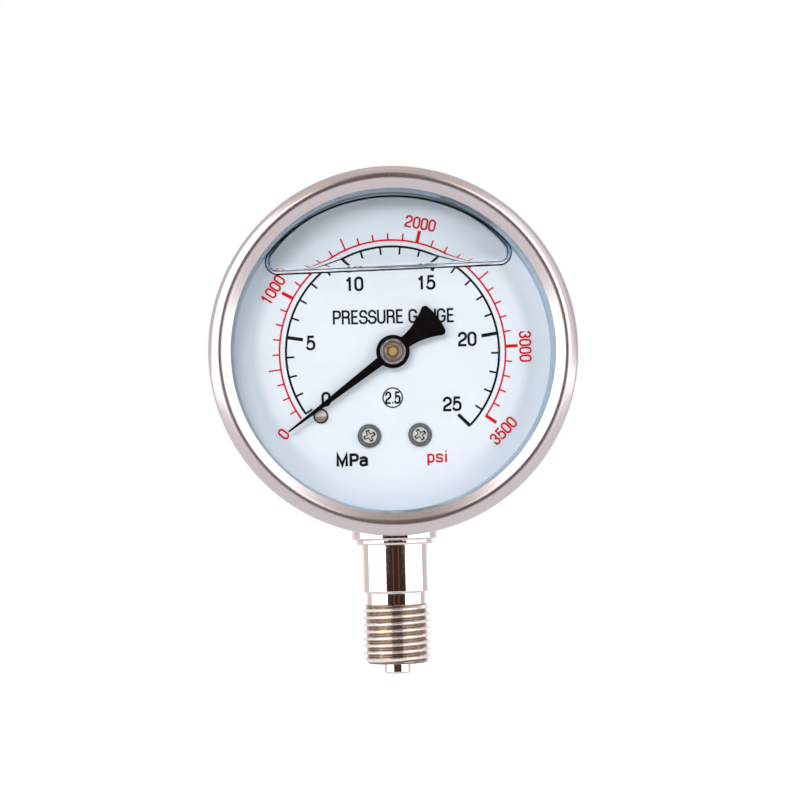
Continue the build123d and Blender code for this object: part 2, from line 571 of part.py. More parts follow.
# ---------------------------------------------------------------- dial and pointer
def dial_plate():
    plate = Circle(DIAL_RADIUS) - Circle(2.2) - Pos(*polar(STOP_DISTANCE, STOP_ANGLE)) * Circle(0.6)
    for at in DIAL_SCREWS:
        plate -= Pos(*at) * Circle(1.1)
    return slab(plate, DIAL_FRONT_Y, DIAL_BACK_Y)


def dial_posts():
    """Two posts that stand on the socket's block and carry the dial."""
    posts = []
    for at in DIAL_SCREWS:
        post = turned([(0, BACK_PLATE_BACK_Y + 3), (1.05, BACK_PLATE_BACK_Y + 3), (1.05, BACK_PLATE_BACK_Y),
                       (1.8, BACK_PLATE_BACK_Y), (1.8, DIAL_BACK_Y), (0, DIAL_BACK_Y)], *at)
        posts.append(post - rod(0.95, DIAL_BACK_Y - 1, DIAL_BACK_Y + 4.5, at))
    return posts


def dial_screws():
    """Pan-head screws with a cross recess in a shallow round seat."""
    screws = []
    top = DIAL_FRONT_Y - 1.2
    for at, turn in zip(DIAL_SCREWS, (22, 25)):
        r = DIAL_SCREW_RADIUS
        body = turned([(0, DIAL_BACK_Y + 4.3), (0.75, DIAL_BACK_Y + 4.3), (0.95, DIAL_BACK_Y + 4.1),
                       (0.95, DIAL_FRONT_Y), (r, DIAL_FRONT_Y), (r, DIAL_FRONT_Y - 0.45),
                       (r - 0.25, DIAL_FRONT_Y - 0.8),
                       (r - 0.8, top), (0, top)], *at)
        cross = Rectangle(2.2, 0.5) + Rectangle(0.5, 2.2)
        screws.append(body - slab(Pos(*at) * Rot(0, 0, turn) * cross, top - 1, top + 0.7))
    return screws


def pointer_stop_pin():
    """Domed pin riveted in the dial, just behind the pointer's arm at rest."""
    at = polar(STOP_DISTANCE, STOP_ANGLE)
    r, flange = STOP_RADIUS, 0.35
    top = POINTER_BACK_Y + 0.12
    dome = DIAL_FRONT_Y - flange - top
    inner = r - 0.2
    rows = [(inner * cos(radians(a)), DIAL_FRONT_Y - flange - dome * sin(radians(a)))
            for a in range(0, 90, 15)]
    shank = [(0, DIAL_BACK_Y + 0.3), (0.9, DIAL_BACK_Y + 0.3), (0.9, DIAL_BACK_Y), (0.6, DIAL_BACK_Y),
             (0.6, DIAL_FRONT_Y), (r, DIAL_FRONT_Y), (r, DIAL_FRONT_Y - flange)]
    return turned(shank + rows + [(0, top)], *at)


def pointer():
    """Flat needle: tapered arm, disc over the hub, and a flared tail with rounded corners."""
    arm = make_face(Polyline((0, 0.95), (POINTER_LENGTH - 0.15, 0.16), (POINTER_LENGTH, 0),
                             (POINTER_LENGTH - 0.15, -0.16), (0, -0.95), close=True))
    waist, flare, reach = 1.2, 3.7, 10.3
    tail = make_face([
        Line((-1, -waist), (-1, waist)),
        Line((-1, waist), (-3.2, waist)),
        Spline((-3.2, waist), (-6.6, waist + 0.75), (-reach + 0.4, flare), tangents=[(-1, 0.05), (-1, 0.75)]),
        ThreePointArc((-reach + 0.4, flare), (-reach - 0.2, 0), (-reach + 0.4, -flare)),
        Spline((-reach + 0.4, -flare), (-6.6, -waist - 0.75), (-3.2, -waist),
               tangents=[(1, 0.75), (1, 0.05)]),
        Line((-3.2, -waist), (-1, -waist)),
    ])
    corners = tail.vertices().sort_by(Axis.X)[:2]
    tail = fillet(corners, 0.75)
    shape = arm + tail + Circle(POINTER_DISC_RADIUS) - Circle(1.5)
    return slab(Rot(0, 0, 90 - POINTER_REST) * shape, POINTER_FRONT_Y, POINTER_BACK_Y)


def pointer_hub():
    """Bush pressed on the spindle: a shallow dished cap in front of the pointer and a neck through it."""
    cap = POINTER_FRONT_Y
    return turned([(SPINDLE_RADIUS, POINTER_BACK_Y + 0.7), (1.5, POINTER_BACK_Y + 0.7), (1.5, cap),
                   (HUB_RADIUS, cap), (HUB_RADIUS, cap - 0.45), (HUB_RADIUS - 0.35, cap - 0.8),
                   (HUB_RADIUS - 0.9, cap - 0.8),
                   (HUB_RADIUS - 1.1, cap - 0.65), (SPINDLE_RADIUS, cap - 0.65)])


# ---------------------------------------------------------------- write every piece
PARTS = {
    "case_cup": case_cup,
    "bezel_ring": bezel_ring,
    "window_glass": window_glass,
    "window_gasket": window_gasket,
    "filling_plug": filling_plug,
    "case_boss": case_boss,
    "socket": socket,
    "restrictor_screw": restrictor_screw,
    "stem_retaining_ring": stem_retaining_ring,
    "stem_o_ring": stem_o_ring,
    "bourdon_tube": bourdon_tube,
    "tube_tip_block": tube_tip_block,
    "tip_link_screw": tip_link_screw,
    "drive_link": drive_link,
    "movement_back_plate": movement_back_plate,
    "movement_front_plate": movement_front_plate,
    "movement_pillars": movement_pillars,
    "movement_screws": movement_screws,
    "mount_screws": mount_screws,
    "sector_stop_pins": sector_stop_pins,
    "sector_gear": sector_gear,
    "sector_arbor": sector_arbor,
    "sector_link_pin": sector_link_pin,
    "pinion_shaft": pinion_shaft,
    "hairspring_collet": hairspring_collet,
    "hairspring": hairspring,
    "hairspring_stud": hairspring_stud,
    "dial_plate": dial_plate,
    "dial_posts": dial_posts,
    "dial_screws": dial_screws,
    "pointer_stop_pin": pointer_stop_pin,
    "pointer": pointer,
    "pointer_hub": pointer_hub,
}

os.makedirs("parts", exist_ok=True)
for name, make in PARTS.items():
    piece = make()
    items = piece if isinstance(piece, list) else [piece]
    solids = [solid for item in items for solid in item.solids()]
    shape = solids[0] if len(solids) == 1 else Compound(children=solids)
    export_step(shape, f"parts/{name}.step")
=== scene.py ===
"""Liquid-filled Bourdon tube pressure gauge: the looks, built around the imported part.

The frame is the part's own: the dial faces -Y, +Z is up, and the origin is on the stem's axis in the thread's
end face. Dimensions are written in millimetres, and MM turns them into Blender's metres.
"""
from math import atan2, ceil, cos, degrees, hypot, pi, radians, sin, sqrt, tan

import bmesh
import bpy
from mathutils import Matrix, Vector


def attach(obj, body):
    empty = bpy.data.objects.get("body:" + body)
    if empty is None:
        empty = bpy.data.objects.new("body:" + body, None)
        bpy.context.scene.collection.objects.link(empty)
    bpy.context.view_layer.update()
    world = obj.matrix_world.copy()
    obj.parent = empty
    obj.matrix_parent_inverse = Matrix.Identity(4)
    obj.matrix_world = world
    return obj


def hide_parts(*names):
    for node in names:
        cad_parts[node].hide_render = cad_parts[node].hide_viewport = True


MM = 0.001

# ------------------------------------ dimensions (mm)
DIAL_Z = 58.6
BEZEL_RADIUS = 34.0
BEZEL_INSIDE_RADIUS = 33.3
BEZEL_CREST_RADIUS = 31.85
BEZEL_LIP_RADIUS = 31.7    # inside of the lip behind the case's flange
BEZEL_BACK_Y = -15.8
WINDOW_RADIUS = 29.8
GLASS_RADIUS = 31.0
GLASS_FRONT_Y = -21.8
GLASS_BACK_Y = -18.8
GLASS_CHAMFER = 0.4
FLANGE_FRONT_Y = -17.3
FLANGE_BACK_Y = -16.5
FLANGE_RADIUS = 33.0
CASE_RADIUS = 31.0
CASE_BACK_Y = 10.5
CASE_WALL = 0.8
CASE_DISH_DEPTH = 0.6
SKIRT_RADIUS = 29.4        # inside of the gasket's skirt
SKIRT_OUTSIDE_RADIUS = 30.15
SKIRT_BACK_Y = -14.1
POINTER_FRONT_Y = -16.1
DIAL_FRONT_Y = -14.0
DIAL_BACK_Y = -13.4
DIAL_RADIUS = 29.9
DIAL_HOLE_RADIUS = 2.2
PLUG_Y = -4.0
PLUG_HOLE_RADIUS = 4.0
PLUG_HEAD_RADIUS = 5.6
PLUG_TOP = 32.7            # the plug's heights are counted from the dial's centre

# Stem, from the spigot up
SPIGOT_RADIUS = 2.5
SPIGOT_LENGTH = 2.0
BORE_RADIUS = 1.5
THREAD_RADIUS = 6.5785
THREAD_DEPTH = 0.856
THREAD_INSIDE = 5.0        # the whole thread is further than this from the axis
THREAD_PITCH = 1.337
THREAD_CREST = 0.2         # width of the flat on the crests
THREAD_CHAMFER = 1.0
THREAD_TOP_Z = 10.85
RUN_OUT_Z = THREAD_TOP_Z + 0.4
RUN_OUT_SLOPE = 1.2
NECK_RADIUS = 5.75
BODY_BOTTOM_Z = 13.5
BODY_RADIUS = 6.3
SOCKET_CUT_Z = 22.0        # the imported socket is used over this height, where the case hides it
RING_BOTTOM_Z = 22.6
RING_RADIUS = 7.4
RING_GAP = 1.6
BOSS_BOTTOM_Z = 23.6
BOSS_RADIUS = 8.2
BOSS_SADDLE_Z = 26.5       # over this height the boss is fitted to the case's wall
STEM_HOLE_RADIUS = 6.83

# Pointer's hub, stop pin and dial screws
HUB_RADIUS = 2.4
HUB_NECK_RADIUS = 1.5
HUB_FRONT_Y = -16.9
HUB_FACE_Y = -16.7         # the sunk face round the spindle
HUB_BACK_Y = -14.9
SPINDLE_RADIUS = 0.78
STOP_ANGLE = -130.5
STOP_DISTANCE = 17.9
STOP_RADIUS = 1.4
STOP_SHANK_RADIUS = 0.55
STOP_BASE_Y = -14.35
STOP_DOME_RADIUS = 1.1
STOP_FRONT_Y = -15.48
SCREW_SPACING = 9.4
SCREW_DROP = 15.5
SCREW_TURNS = (22, 30)     # of the left and the right recess, in degrees anticlockwise
DIAL_SCREW_RADIUS = 2.2
DIAL_SCREW_SHANK = 0.95
DIAL_SCREW_END_Y = -9.1
RECESS_TOP = (0.74, 1.14)  # width and reach of the cross recess's arms where it starts
RECESS_FLOOR = (0.36, 0.84)

# The dial's printing (mm from the dial's centre; angles in degrees clockwise from straight up)
SCALE_START = -135.0
SCALE_SWEEP = 270.0
MPA_FULL = 25
PSI_FULL = 3500
PSI_PER_MPA = 145.038
DEGREES_PER_MPA = SCALE_SWEEP / MPA_FULL
DEGREES_PER_PSI = DEGREES_PER_MPA / PSI_PER_MPA
MPA_ARC = 19.8
PSI_ARC = 21.0
TICK_OVERLAP = 0.1         # how far each tick reaches into its scale's arc
MPA_LONG_TICK = (3.0, 0.65)     # length and width
MPA_SHORT_TICK = (1.5, 0.36)
PSI_TICK_LENGTHS = (2.3, 1.3)   # long and short
PSI_TICK_WIDTHS = (0.62, 0.30)  # bold and thin
FIGURE_HEIGHT = 2.6        # of the black figures and words
SMALL_HEIGHT = 2.25        # of the red figures, the class and the unit
INK = 0.015                # how far the ink stands off the dial
INK_STEP = 0.0004          # and how much more each stroke does than the one before, so that none coincide

# The liquid, and the air pocket over it
LEVEL = 15.05              # the liquid's level over the dial's centre
LEVEL_TILT = 1.3           # degrees, right side up
POCKET_RADIUS = 29.35
POCKET_SAG = 0.45          # how much thicker the liquid film is at the top of the case's wall
POCKET_GAP = 0.04          # liquid left between the pocket and the pane, and between it and the dial
MENISCUS = 2.3             # radius of the liquid's edge along the level
MENISCUS_FADE = 2.2        # rise over the level that halves that radius
# painted reflection: this part of the edge is painted near-black
RIM_WIDTH = 0.3            # the part of the pocket's edge that looks black
CORNER_FILM = 0.5          # radius of the liquid held in the corner under the case's wall
LIQUID_RADIUS = 29.85
LIQUID_FRONT_Y = GLASS_BACK_Y + 0.01
LIQUID_BACK_Y = (DIAL_FRONT_Y + DIAL_BACK_Y) / 2

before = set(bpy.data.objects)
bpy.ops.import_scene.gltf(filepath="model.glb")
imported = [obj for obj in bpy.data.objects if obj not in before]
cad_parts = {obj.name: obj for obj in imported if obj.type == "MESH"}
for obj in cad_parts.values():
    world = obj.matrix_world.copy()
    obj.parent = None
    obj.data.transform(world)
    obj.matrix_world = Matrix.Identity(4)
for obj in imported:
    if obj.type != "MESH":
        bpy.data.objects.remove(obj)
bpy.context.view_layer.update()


# ------------------------------------ mesh helpers
def new_object(name, data):
    made = bpy.data.objects.new(name, data)
    bpy.context.scene.collection.objects.link(made)
    return made


def add_object(name, mesh, body, slot_name, *materials):
    """A new piece from a mesh given in millimetres, riding on a body of the part."""
    mesh.transform(Matrix.Scale(MM, 4))
    piece = new_object(name, mesh)
    for material in materials:
        mesh.materials.append(material)
    even = piece.modifiers.new("even_normals", "WEIGHTED_NORMAL")
    even.keep_sharp = True
    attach(piece, body)
    return piece


def smooth(mesh, angle=35):
    mesh.shade_smooth()
    mesh.set_sharp_from_angle(angle=radians(angle))


def rounded(corners, closed=False, steps=6):
    """The points of an outline, from (u, v) or (u, v, fillet radius) corners."""
    points = []
    count = len(corners)
    for i, corner in enumerate(corners):
        here = Vector(corner[:2])
        radius = corner[2] if len(corner) > 2 else 0
        inner = closed or 0 < i < count - 1
        if not (radius and inner):
            points.append(tuple(here))
            continue
        before = (Vector(corners[i - 1][:2]) - here).normalized()
        after = (Vector(corners[(i + 1) % count][:2]) - here).normalized()
        half = before.angle(after) / 2
        reach = radius / tan(half)
        centre = here + (before + after).normalized() * (radius / sin(half))
        start = here + before * reach - centre
        turn = start.angle_signed(here + after * reach - centre)
        for k in range(steps + 1):
            arm = start.copy()
            arm.rotate(Matrix.Rotation(-turn * k / steps, 2))
            points.append(tuple(centre + arm))
    return points


def braced(outline, closed, reach=0.06):
    """The outline with extra points near the ends of its long straights, to keep their shading flat."""
    points = []
    following = outline[1:] + outline[:1] if closed else outline[1:]
    for a, b in zip(outline, following):
        points.append(a)
        span = hypot(b[0] - a[0], b[1] - a[1])
        if span > 5 * reach:
            for share in (reach / span, 1 - reach / span):
                points.append((a[0] + (b[0] - a[0]) * share, a[1] + (b[1] - a[1]) * share))
    return points if closed else points + [outline[-1]]


def lathe(outline, axis="Y", at=(0, 0), closed=False, steps=256):
    """A mesh turned about an axis along Y (through at, seen from the front) or along Z.

    The outline's points are (radius, distance along the axis). The mesh's map has the turn as u, from 0 to 1,
    and the distance along the outline in millimetres as v.
    """
    outline = braced(outline, closed)
    mesh = bpy.data.meshes.new("turned")
    bm = bmesh.new()
    uv = bm.loops.layers.uv.new("turned")
    rings = []
    lengths = [0.0]
    for a, b in zip(outline, outline[1:] + outline[:1]):
        lengths.append(lengths[-1] + hypot(b[0] - a[0], b[1] - a[1]))

    def place(radius, along, turn):
        if axis == "Y":
            return (at[0] + radius * sin(turn), along, DIAL_Z + at[1] + radius * cos(turn))
        return (at[0] + radius * cos(turn), at[1] + radius * sin(turn), along)

    for radius, along in outline:
        if radius < 1e-6:
            rings.append([bm.verts.new(place(0, along, 0))])
        else:
            rings.append([bm.verts.new(place(radius, along, 2 * pi * k / steps)) for k in range(steps)])
    pairs = list(zip(range(len(rings)), range(1, len(rings))))
    if closed:
        pairs.append((len(rings) - 1, 0))
    for number, (i, j) in enumerate(pairs):
        low, high = rings[i], rings[j]
        for k in range(steps):
            corners = [(low[k % len(low)], k, number), (low[(k + 1) % len(low)], k + 1, number),
                       (high[(k + 1) % len(high)], k + 1, number + 1), (high[k % len(high)], k, number + 1)]
            used = []
            for corner in corners:
                if corner[0] not in [c[0] for c in used]:
                    used.append(corner)
            if len(used) < 3:
                continue
            face = bm.faces.new([c[0] for c in used])
            for loop, (_, turn, row) in zip(face.loops, used):
                loop[uv].uv = (turn / steps, lengths[row])
    bmesh.ops.recalc_face_normals(bm, faces=bm.faces)
    bm.to_mesh(mesh)
    bm.free()
    smooth(mesh)
    return mesh


def join(*meshes):
    """One mesh from several, which are used up."""
    bm = bmesh.new()
    for mesh in meshes:
        bm.from_mesh(mesh)
        bpy.data.meshes.remove(mesh)
    joined = bpy.data.meshes.new("joined")
    bm.to_mesh(joined)
    bm.free()
    smooth(joined)
    return joined


# ------------------------------------ materials
class Shader:
    """A material under construction, with short names for its nodes."""

    def __init__(self, name):
        self.material = bpy.data.materials.new(name)
        self.material.use_nodes = True
        self.tree = self.material.node_tree
        self.surface = self.tree.nodes["Principled BSDF"]
        self.output = self.tree.nodes["Material Output"]

    def node(self, kind, **values):
        made = self.tree.nodes.new(kind)
        for key, value in values.items():
            setattr(made, key, value)
        return made

    def link(self, source, target):
        """Feeds a target from a socket, or sets it to a plain value."""
        if isinstance(source, bpy.types.NodeSocket):
            self.tree.links.new(source, target)
        else:
            target.default_value = source

    def set(self, **values):
        for key, value in values.items():
            self.surface.inputs[key.replace("_", " ")].default_value = value

    def coordinates(self, space, scale):
        """Texture coordinates of one kind, scaled along each axis."""
        source = self.node("ShaderNodeTexCoord").outputs[space]
        stretch = self.node("ShaderNodeMapping")
        stretch.inputs["Scale"].default_value = scale
        self.link(source, stretch.inputs["Vector"])
        return stretch.outputs["Vector"]

    def noise(self, vector, detail=3.0, scale=1.0):
        made = self.node("ShaderNodeTexNoise")
        made.inputs["Scale"].default_value = scale
        made.inputs["Detail"].default_value = detail
        self.link(vector, made.inputs["Vector"])
        return made.outputs["Fac"]

    def spread(self, value, low, high, source=(0.3, 0.7)):
        """A value moved from its source range to low..high."""
        made = self.node("ShaderNodeMapRange")
        made.inputs["From Min"].default_value = source[0]
        made.inputs["From Max"].default_value = source[1]
        made.inputs["To Min"].default_value = low
        made.inputs["To Max"].default_value = high
        self.link(value, made.inputs["Value"])
        return made.outputs["Result"]

    def shades(self, value, *stops):
        """A colour ramp over (position, colour) stops."""
        made = self.node("ShaderNodeValToRGB")
        ramp = made.color_ramp
        while len(ramp.elements) < len(stops):
            ramp.elements.new(0.5)
        for element, (position, colour) in zip(ramp.elements, stops):
            element.position = position
            element.color = (*colour, 1)
        self.link(value, made.inputs["Fac"])
        return made.outputs["Color"]

    def math(self, operation, *values):
        """A number worked out from sockets and plain numbers."""
        made = self.node("ShaderNodeMath", operation=operation)
        for value, target in zip(values, made.inputs):
            self.link(value, target)
        return made.outputs["Value"]

    def split(self, vector):
        """The three parts of a vector."""
        made = self.node("ShaderNodeSeparateXYZ")
        self.link(vector, made.inputs["Vector"])
        return made.outputs

    def length(self, first, second):
        """The length of a vector with two parts."""
        pair = self.node("ShaderNodeCombineXYZ")
        self.link(first, pair.inputs["X"])
        self.link(second, pair.inputs["Y"])
        made = self.node("ShaderNodeVectorMath", operation="LENGTH")
        self.link(pair.outputs["Vector"], made.inputs[0])
        return made.outputs["Value"]

    def multiply(self, share, colour, other):
        """A colour that is multiplied by another one, by some share."""
        made = self.node("ShaderNodeMix", data_type="RGBA", blend_type="MULTIPLY")
        self.link(share, made.inputs["Factor"])
        self.link(colour, made.inputs["A"])
        self.link(other, made.inputs["B"])
        return made.outputs["Result"]

    def layer(self, kind, **values):
        """Another surface, such as Glass or Transparent."""
        made = self.node("ShaderNodeBsdf" + kind)
        for key, value in values.items():
            made.inputs[key].default_value = value
        return made.outputs["BSDF"]

    def mix(self, share, first, second):
        """Makes the material a mix of two surfaces."""
        made = self.node("ShaderNodeMixShader")
        self.link(share, made.inputs["Fac"])
        self.link(first, made.inputs[1])
        self.link(second, made.inputs[2])
        self.link(made.outputs["Shader"], self.output.inputs["Surface"])

    def bump(self, height, distance):
        made = self.node("ShaderNodeBump")
        made.inputs["Distance"].default_value = distance * MM
        made.inputs["Strength"].default_value = 1.0
        self.link(height, made.inputs["Height"])
        self.link(made.outputs["Normal"], self.surface.inputs["Normal"])


def turned_metal(name, colour, roughness, grain=0.02, variation=0.04, marks=6.0, depth=0.0015):
    """Metal of a turned piece, with fine marks that run round it. It needs a lathe's map."""
    shader = Shader(name)
    around = shader.coordinates("UV", (6, marks, 1))
    fine = shader.noise(around, detail=4)
    broad = shader.noise(shader.coordinates("UV", (3, 0.7, 1)), detail=2)
    darker = tuple(c * (1 - variation) for c in colour)
    shader.link(shader.shades(fine, (0.35, darker), (0.65, colour)), shader.surface.inputs["Base Color"])
    sheen = shader.spread(broad, roughness - grain, roughness + grain)
    shader.link(sheen, shader.surface.inputs["Roughness"])
    shader.set(Metallic=1.0)
    shader.bump(fine, depth)
    return shader.material


def thread_metal(name, crest, root, roughness):
    """Metal of the thread: its own colour on the crests, and painted shade that darkens it in patches towards
    the roots.
    """
    shader = Shader(name)
    place = shader.split(shader.coordinates("Object", (1, 1, 1)))
    reach = ((THREAD_RADIUS - THREAD_DEPTH) * MM, THREAD_RADIUS * MM)
    height = shader.spread(shader.length(place["X"], place["Y"]), 0, 1, reach)
    patches = shader.noise(shader.coordinates("Object", (700, 700, 1500)), detail=3)
    # painted shade: the thread gets darker in patches towards its roots
    root_shade = shader.math("MULTIPLY_ADD", patches, 0.7, height)
    shader.link(shader.shades(root_shade, (0.42, root), (0.85, crest)), shader.surface.inputs["Base Color"])
    shader.link(shader.spread(patches, roughness + 0.1, roughness), shader.surface.inputs["Roughness"])
    shader.set(Metallic=1.0)
    shader.bump(patches, 0.004)
    return shader.material


def plain_metal(name, colour, roughness, variation=0.08, scale=900, depth=0.002):
    """Metal of a stamped, drawn or machined piece, with a fine even grain."""
    shader = Shader(name)
    grain = shader.noise(shader.coordinates("Object", (scale, scale, scale)), detail=4)
    cloud = shader.noise(shader.coordinates("Object", (90, 90, 90)), detail=2)
    darker = tuple(c * (1 - variation) for c in colour)
    shader.link(shader.shades(cloud, (0.35, darker), (0.65, colour)), shader.surface.inputs["Base Color"])
    shader.link(shader.spread(grain, roughness - 0.05, roughness + 0.05), shader.surface.inputs["Roughness"])
    shader.set(Metallic=1.0)
    shader.bump(grain, depth)
    return shader.material


def coating(name, colour, roughness, variation=0.03, scale=700, depth=0.002, gloss=0.5, metallic=0.0):
    """Paint, ink, rubber or another surface that isn't bare metal."""
    shader = Shader(name)
    grain = shader.noise(shader.coordinates("Object", (scale, scale, scale)), detail=3)
    darker = tuple(c * (1 - variation) for c in colour)
    shader.link(shader.shades(grain, (0.3, darker), (0.7, colour)), shader.surface.inputs["Base Color"])
    shader.link(shader.spread(grain, roughness - 0.04, roughness + 0.04), shader.surface.inputs["Roughness"])
    shader.set(Specular_IOR_Level=gloss, Metallic=metallic)
    shader.bump(grain, depth)
    return shader.material


def window_material():
    """Clear flat glass: see-through, with the mirror image that its surface adds."""
    shader = Shader("window_glass")
    clear = shader.layer("Transparent", Color=(0.985, 0.995, 1.0, 1))
    mirror = shader.layer("Glossy", Color=(1, 1, 1, 1), Roughness=0.0)
    fresnel = shader.node("ShaderNodeFresnel")
    fresnel.inputs["IOR"].default_value = 1.3
    shader.mix(fresnel.outputs["Fac"], clear, mirror)
    shader.tree.nodes.remove(shader.surface)
    return shader.material


def liquid_material():
    """Glycerine: it bends what is seen through it, and lets the lamps' light straight in."""
    shader = Shader("glycerine")
    glass = shader.layer("Glass", Color=(0.985, 0.99, 1.0, 1), Roughness=0.0, IOR=1.45)
    clear = shader.layer("Transparent", Color=(0.98, 0.995, 1.0, 1))
    path = shader.node("ShaderNodeLightPath").outputs
    shader.mix(shader.math("MAXIMUM", path["Is Shadow Ray"], path["Is Diffuse Ray"]), glass, clear)
    shader.tree.nodes.remove(shader.surface)
    return shader.material


def rim_material():
    """The steepest part of the pocket's edge, painted near-black as a painted reflection of what is dark
    around the gauge.
    """
    shader = Shader("glycerine_painted_dark_rim")
    shader.set(Base_Color=(0.006, 0.007, 0.010, 1), Roughness=0.5, Specular_IOR_Level=0.0)
    path = shader.node("ShaderNodeLightPath").outputs
    shader.mix(path["Is Shadow Ray"], shader.surface.outputs["BSDF"], shader.layer("Transparent"))
    return shader.material


def dial_material():
    """White enamel with a faint mottle and tiny specks of dust, and a soft band of painted shade at each
    side.
    """
    rise_zone = (24.3 * MM, 26.0 * MM)
    fall_zone = (25.8 * MM, 29.2 * MM)
    side_zone = (10 * MM, 24 * MM)
    shader = Shader("dial_paint")
    where = shader.coordinates("Object", (1, 1, 1))
    mottle = shader.noise(where, detail=3, scale=120)
    specks = shader.noise(where, detail=1, scale=2600)
    enamel = shader.shades(mottle, (0.3, (0.775, 0.79, 0.835)), (0.7, (0.805, 0.82, 0.865)))
    dust = shader.shades(specks, (0.20, (0.3, 0.33, 0.36)), (0.24, (1, 1, 1)))
    place = shader.split(where)
    from_centre = shader.length(place["X"], shader.math("SUBTRACT", place["Z"], DIAL_Z * MM))
    rise = shader.spread(from_centre, 0, 1, rise_zone)
    fall = shader.spread(from_centre, 1, 0, fall_zone)
    aside = shader.spread(shader.math("ABSOLUTE", place["X"]), 0, 1, side_zone)
    # painted shade: a soft darker band near the dial's edge at each side
    band = shader.math("MULTIPLY", shader.math("MULTIPLY", rise, aside), fall)
    shaded = shader.multiply(band, shader.multiply(0.25, enamel, dust), (0.79, 0.835, 0.84, 1))
    shader.link(shaded, shader.surface.inputs["Base Color"])
    shader.set(Roughness=0.45, Specular_IOR_Level=0.0)
    shader.bump(mottle, 0.004)
    return shader.material


bezel_steel = turned_metal("bezel_steel", (0.62, 0.575, 0.575), 0.27, marks=5.0, depth=0.002)
case_steel = turned_metal("case_steel", (0.60, 0.57, 0.56), 0.30, marks=4.0)
stem_steel = turned_metal("stem_steel", (0.74, 0.69, 0.66), 0.06, marks=2.5, depth=0.0008)
thread_steel = thread_metal("thread_steel", (0.88, 0.84, 0.80), (0.28, 0.20, 0.145), 0.12)
hub_nickel = turned_metal("hub_nickel", (0.62, 0.52, 0.46), 0.24)
pin_steel = coating("pin_steel", (0.90, 0.78, 0.70), 0.14, variation=0.15, gloss=1.0, metallic=0.4)
# painted reflection: the darker tone on the stop pin's lower half
pin_shade = coating("pin_shade", (0.36, 0.22, 0.16), 0.2, variation=0.3, gloss=0.6)
screw_black = coating("screw_black", (0.135, 0.14, 0.145), 0.34, variation=0.25, scale=1800)
# painted shade and reflection: the stop pin's dark outline and the walls of the screws' recesses
painted_shade_and_reflection = coating("painted_shade_and_reflection", (0.025, 0.022, 0.02), 0.4)
# painted reflection: the bright seats and recess floors of the dial's screws
recess_painted_reflection = coating("recess_painted_reflection", (0.74, 0.66, 0.62), 0.3, variation=0.35, scale=1500)
gilt = coating("gilt", (0.46, 0.29, 0.07), 0.3, variation=0.3, scale=1500)
plain_pin = plain_metal("plain_pin_steel", (0.70, 0.68, 0.66), 0.2)
plain_screw = plain_metal("plain_screw_steel", (0.35, 0.35, 0.36), 0.35)
brass = plain_metal("movement_brass", (0.78, 0.58, 0.24), 0.24)
bronze = plain_metal("tube_bronze", (0.66, 0.42, 0.22), 0.32)
spring = plain_metal("spring_bronze", (0.72, 0.50, 0.26), 0.26)
gasket = coating("gasket_rubber", (0.46, 0.58, 0.70), 0.5)
rubber = coating("seal_rubber", (0.025, 0.025, 0.027), 0.62, variation=0.2, depth=0.006)
pointer_paint = coating("pointer_paint", (0.004, 0.004, 0.005), 0.42, variation=0.3, depth=0.002, gloss=0.0)
ink_black = coating("ink_black", (0.012, 0.013, 0.016), 0.5, variation=0.2, depth=0.001, gloss=0.0)
ink_red = coating("ink_red", (0.68, 0.010, 0.012), 0.5, variation=0.06, depth=0.001, gloss=0.0)
dial_paint = dial_material()
window = window_material()
liquid = liquid_material()

for node_name, material in {
    "window_gasket": gasket, "restrictor_screw": brass, "stem_o_ring": rubber, "bourdon_tube": bronze,
    "tube_tip_block": brass, "tip_link_screw": plain_screw, "drive_link": brass,
    "movement_back_plate": brass, "movement_front_plate": brass, "movement_pillars": brass,
    "movement_screws": plain_screw, "mount_screws": plain_screw, "sector_stop_pins": plain_pin,
    "sector_gear": brass, "sector_arbor": plain_pin, "sector_link_pin": plain_pin, "pinion_shaft": brass,
    "hairspring_collet": brass, "hairspring": spring, "hairspring_stud": brass, "dial_posts": brass,
    "dial_plate": dial_paint, "pointer": pointer_paint,
}.items():
    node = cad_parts[node_name]
    node.data.materials.clear()
    node.data.materials.append(material)

# ------------------------------------ case, bezel and window
bezel_outline = rounded([
    (WINDOW_RADIUS, GLASS_FRONT_Y), (WINDOW_RADIUS, -21.9, 0.08), (BEZEL_CREST_RADIUS, -23.28, 1.36),
    (BEZEL_RADIUS, -21.83, 1.9), (BEZEL_RADIUS, BEZEL_BACK_Y, 0.5), (BEZEL_LIP_RADIUS, BEZEL_BACK_Y),
    (BEZEL_LIP_RADIUS, FLANGE_BACK_Y), (BEZEL_INSIDE_RADIUS, FLANGE_BACK_Y), (BEZEL_INSIDE_RADIUS, -21.9),
    (32.4, GLASS_FRONT_Y),
], closed=True, steps=10)
bezel = add_object("bezel", lathe(bezel_outline, closed=True, steps=384), "case", "bezel_steel", bezel_steel)
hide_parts("bezel_ring")

dish_y = CASE_BACK_Y - CASE_DISH_DEPTH
inside_y = CASE_BACK_Y - CASE_WALL
inside_radius = CASE_RADIUS - CASE_WALL
cup_outline = rounded([
    (0, dish_y), (22, dish_y, 0.6), (23.2, CASE_BACK_Y, 0.6), (CASE_RADIUS, CASE_BACK_Y, 3),
    (CASE_RADIUS, FLANGE_BACK_Y, 0.3), (FLANGE_RADIUS, FLANGE_BACK_Y), (FLANGE_RADIUS, FLANGE_FRONT_Y),
    (inside_radius, FLANGE_FRONT_Y, 0.3), (inside_radius, inside_y, 2.2), (22.9, inside_y, 0.6),
    (21.7, dish_y - CASE_WALL, 0.6), (0, dish_y - CASE_WALL),
], steps=10)
cup = add_object("case_shell", lathe(cup_outline, steps=320), "case", "case_steel", case_steel)
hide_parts("case_cup")

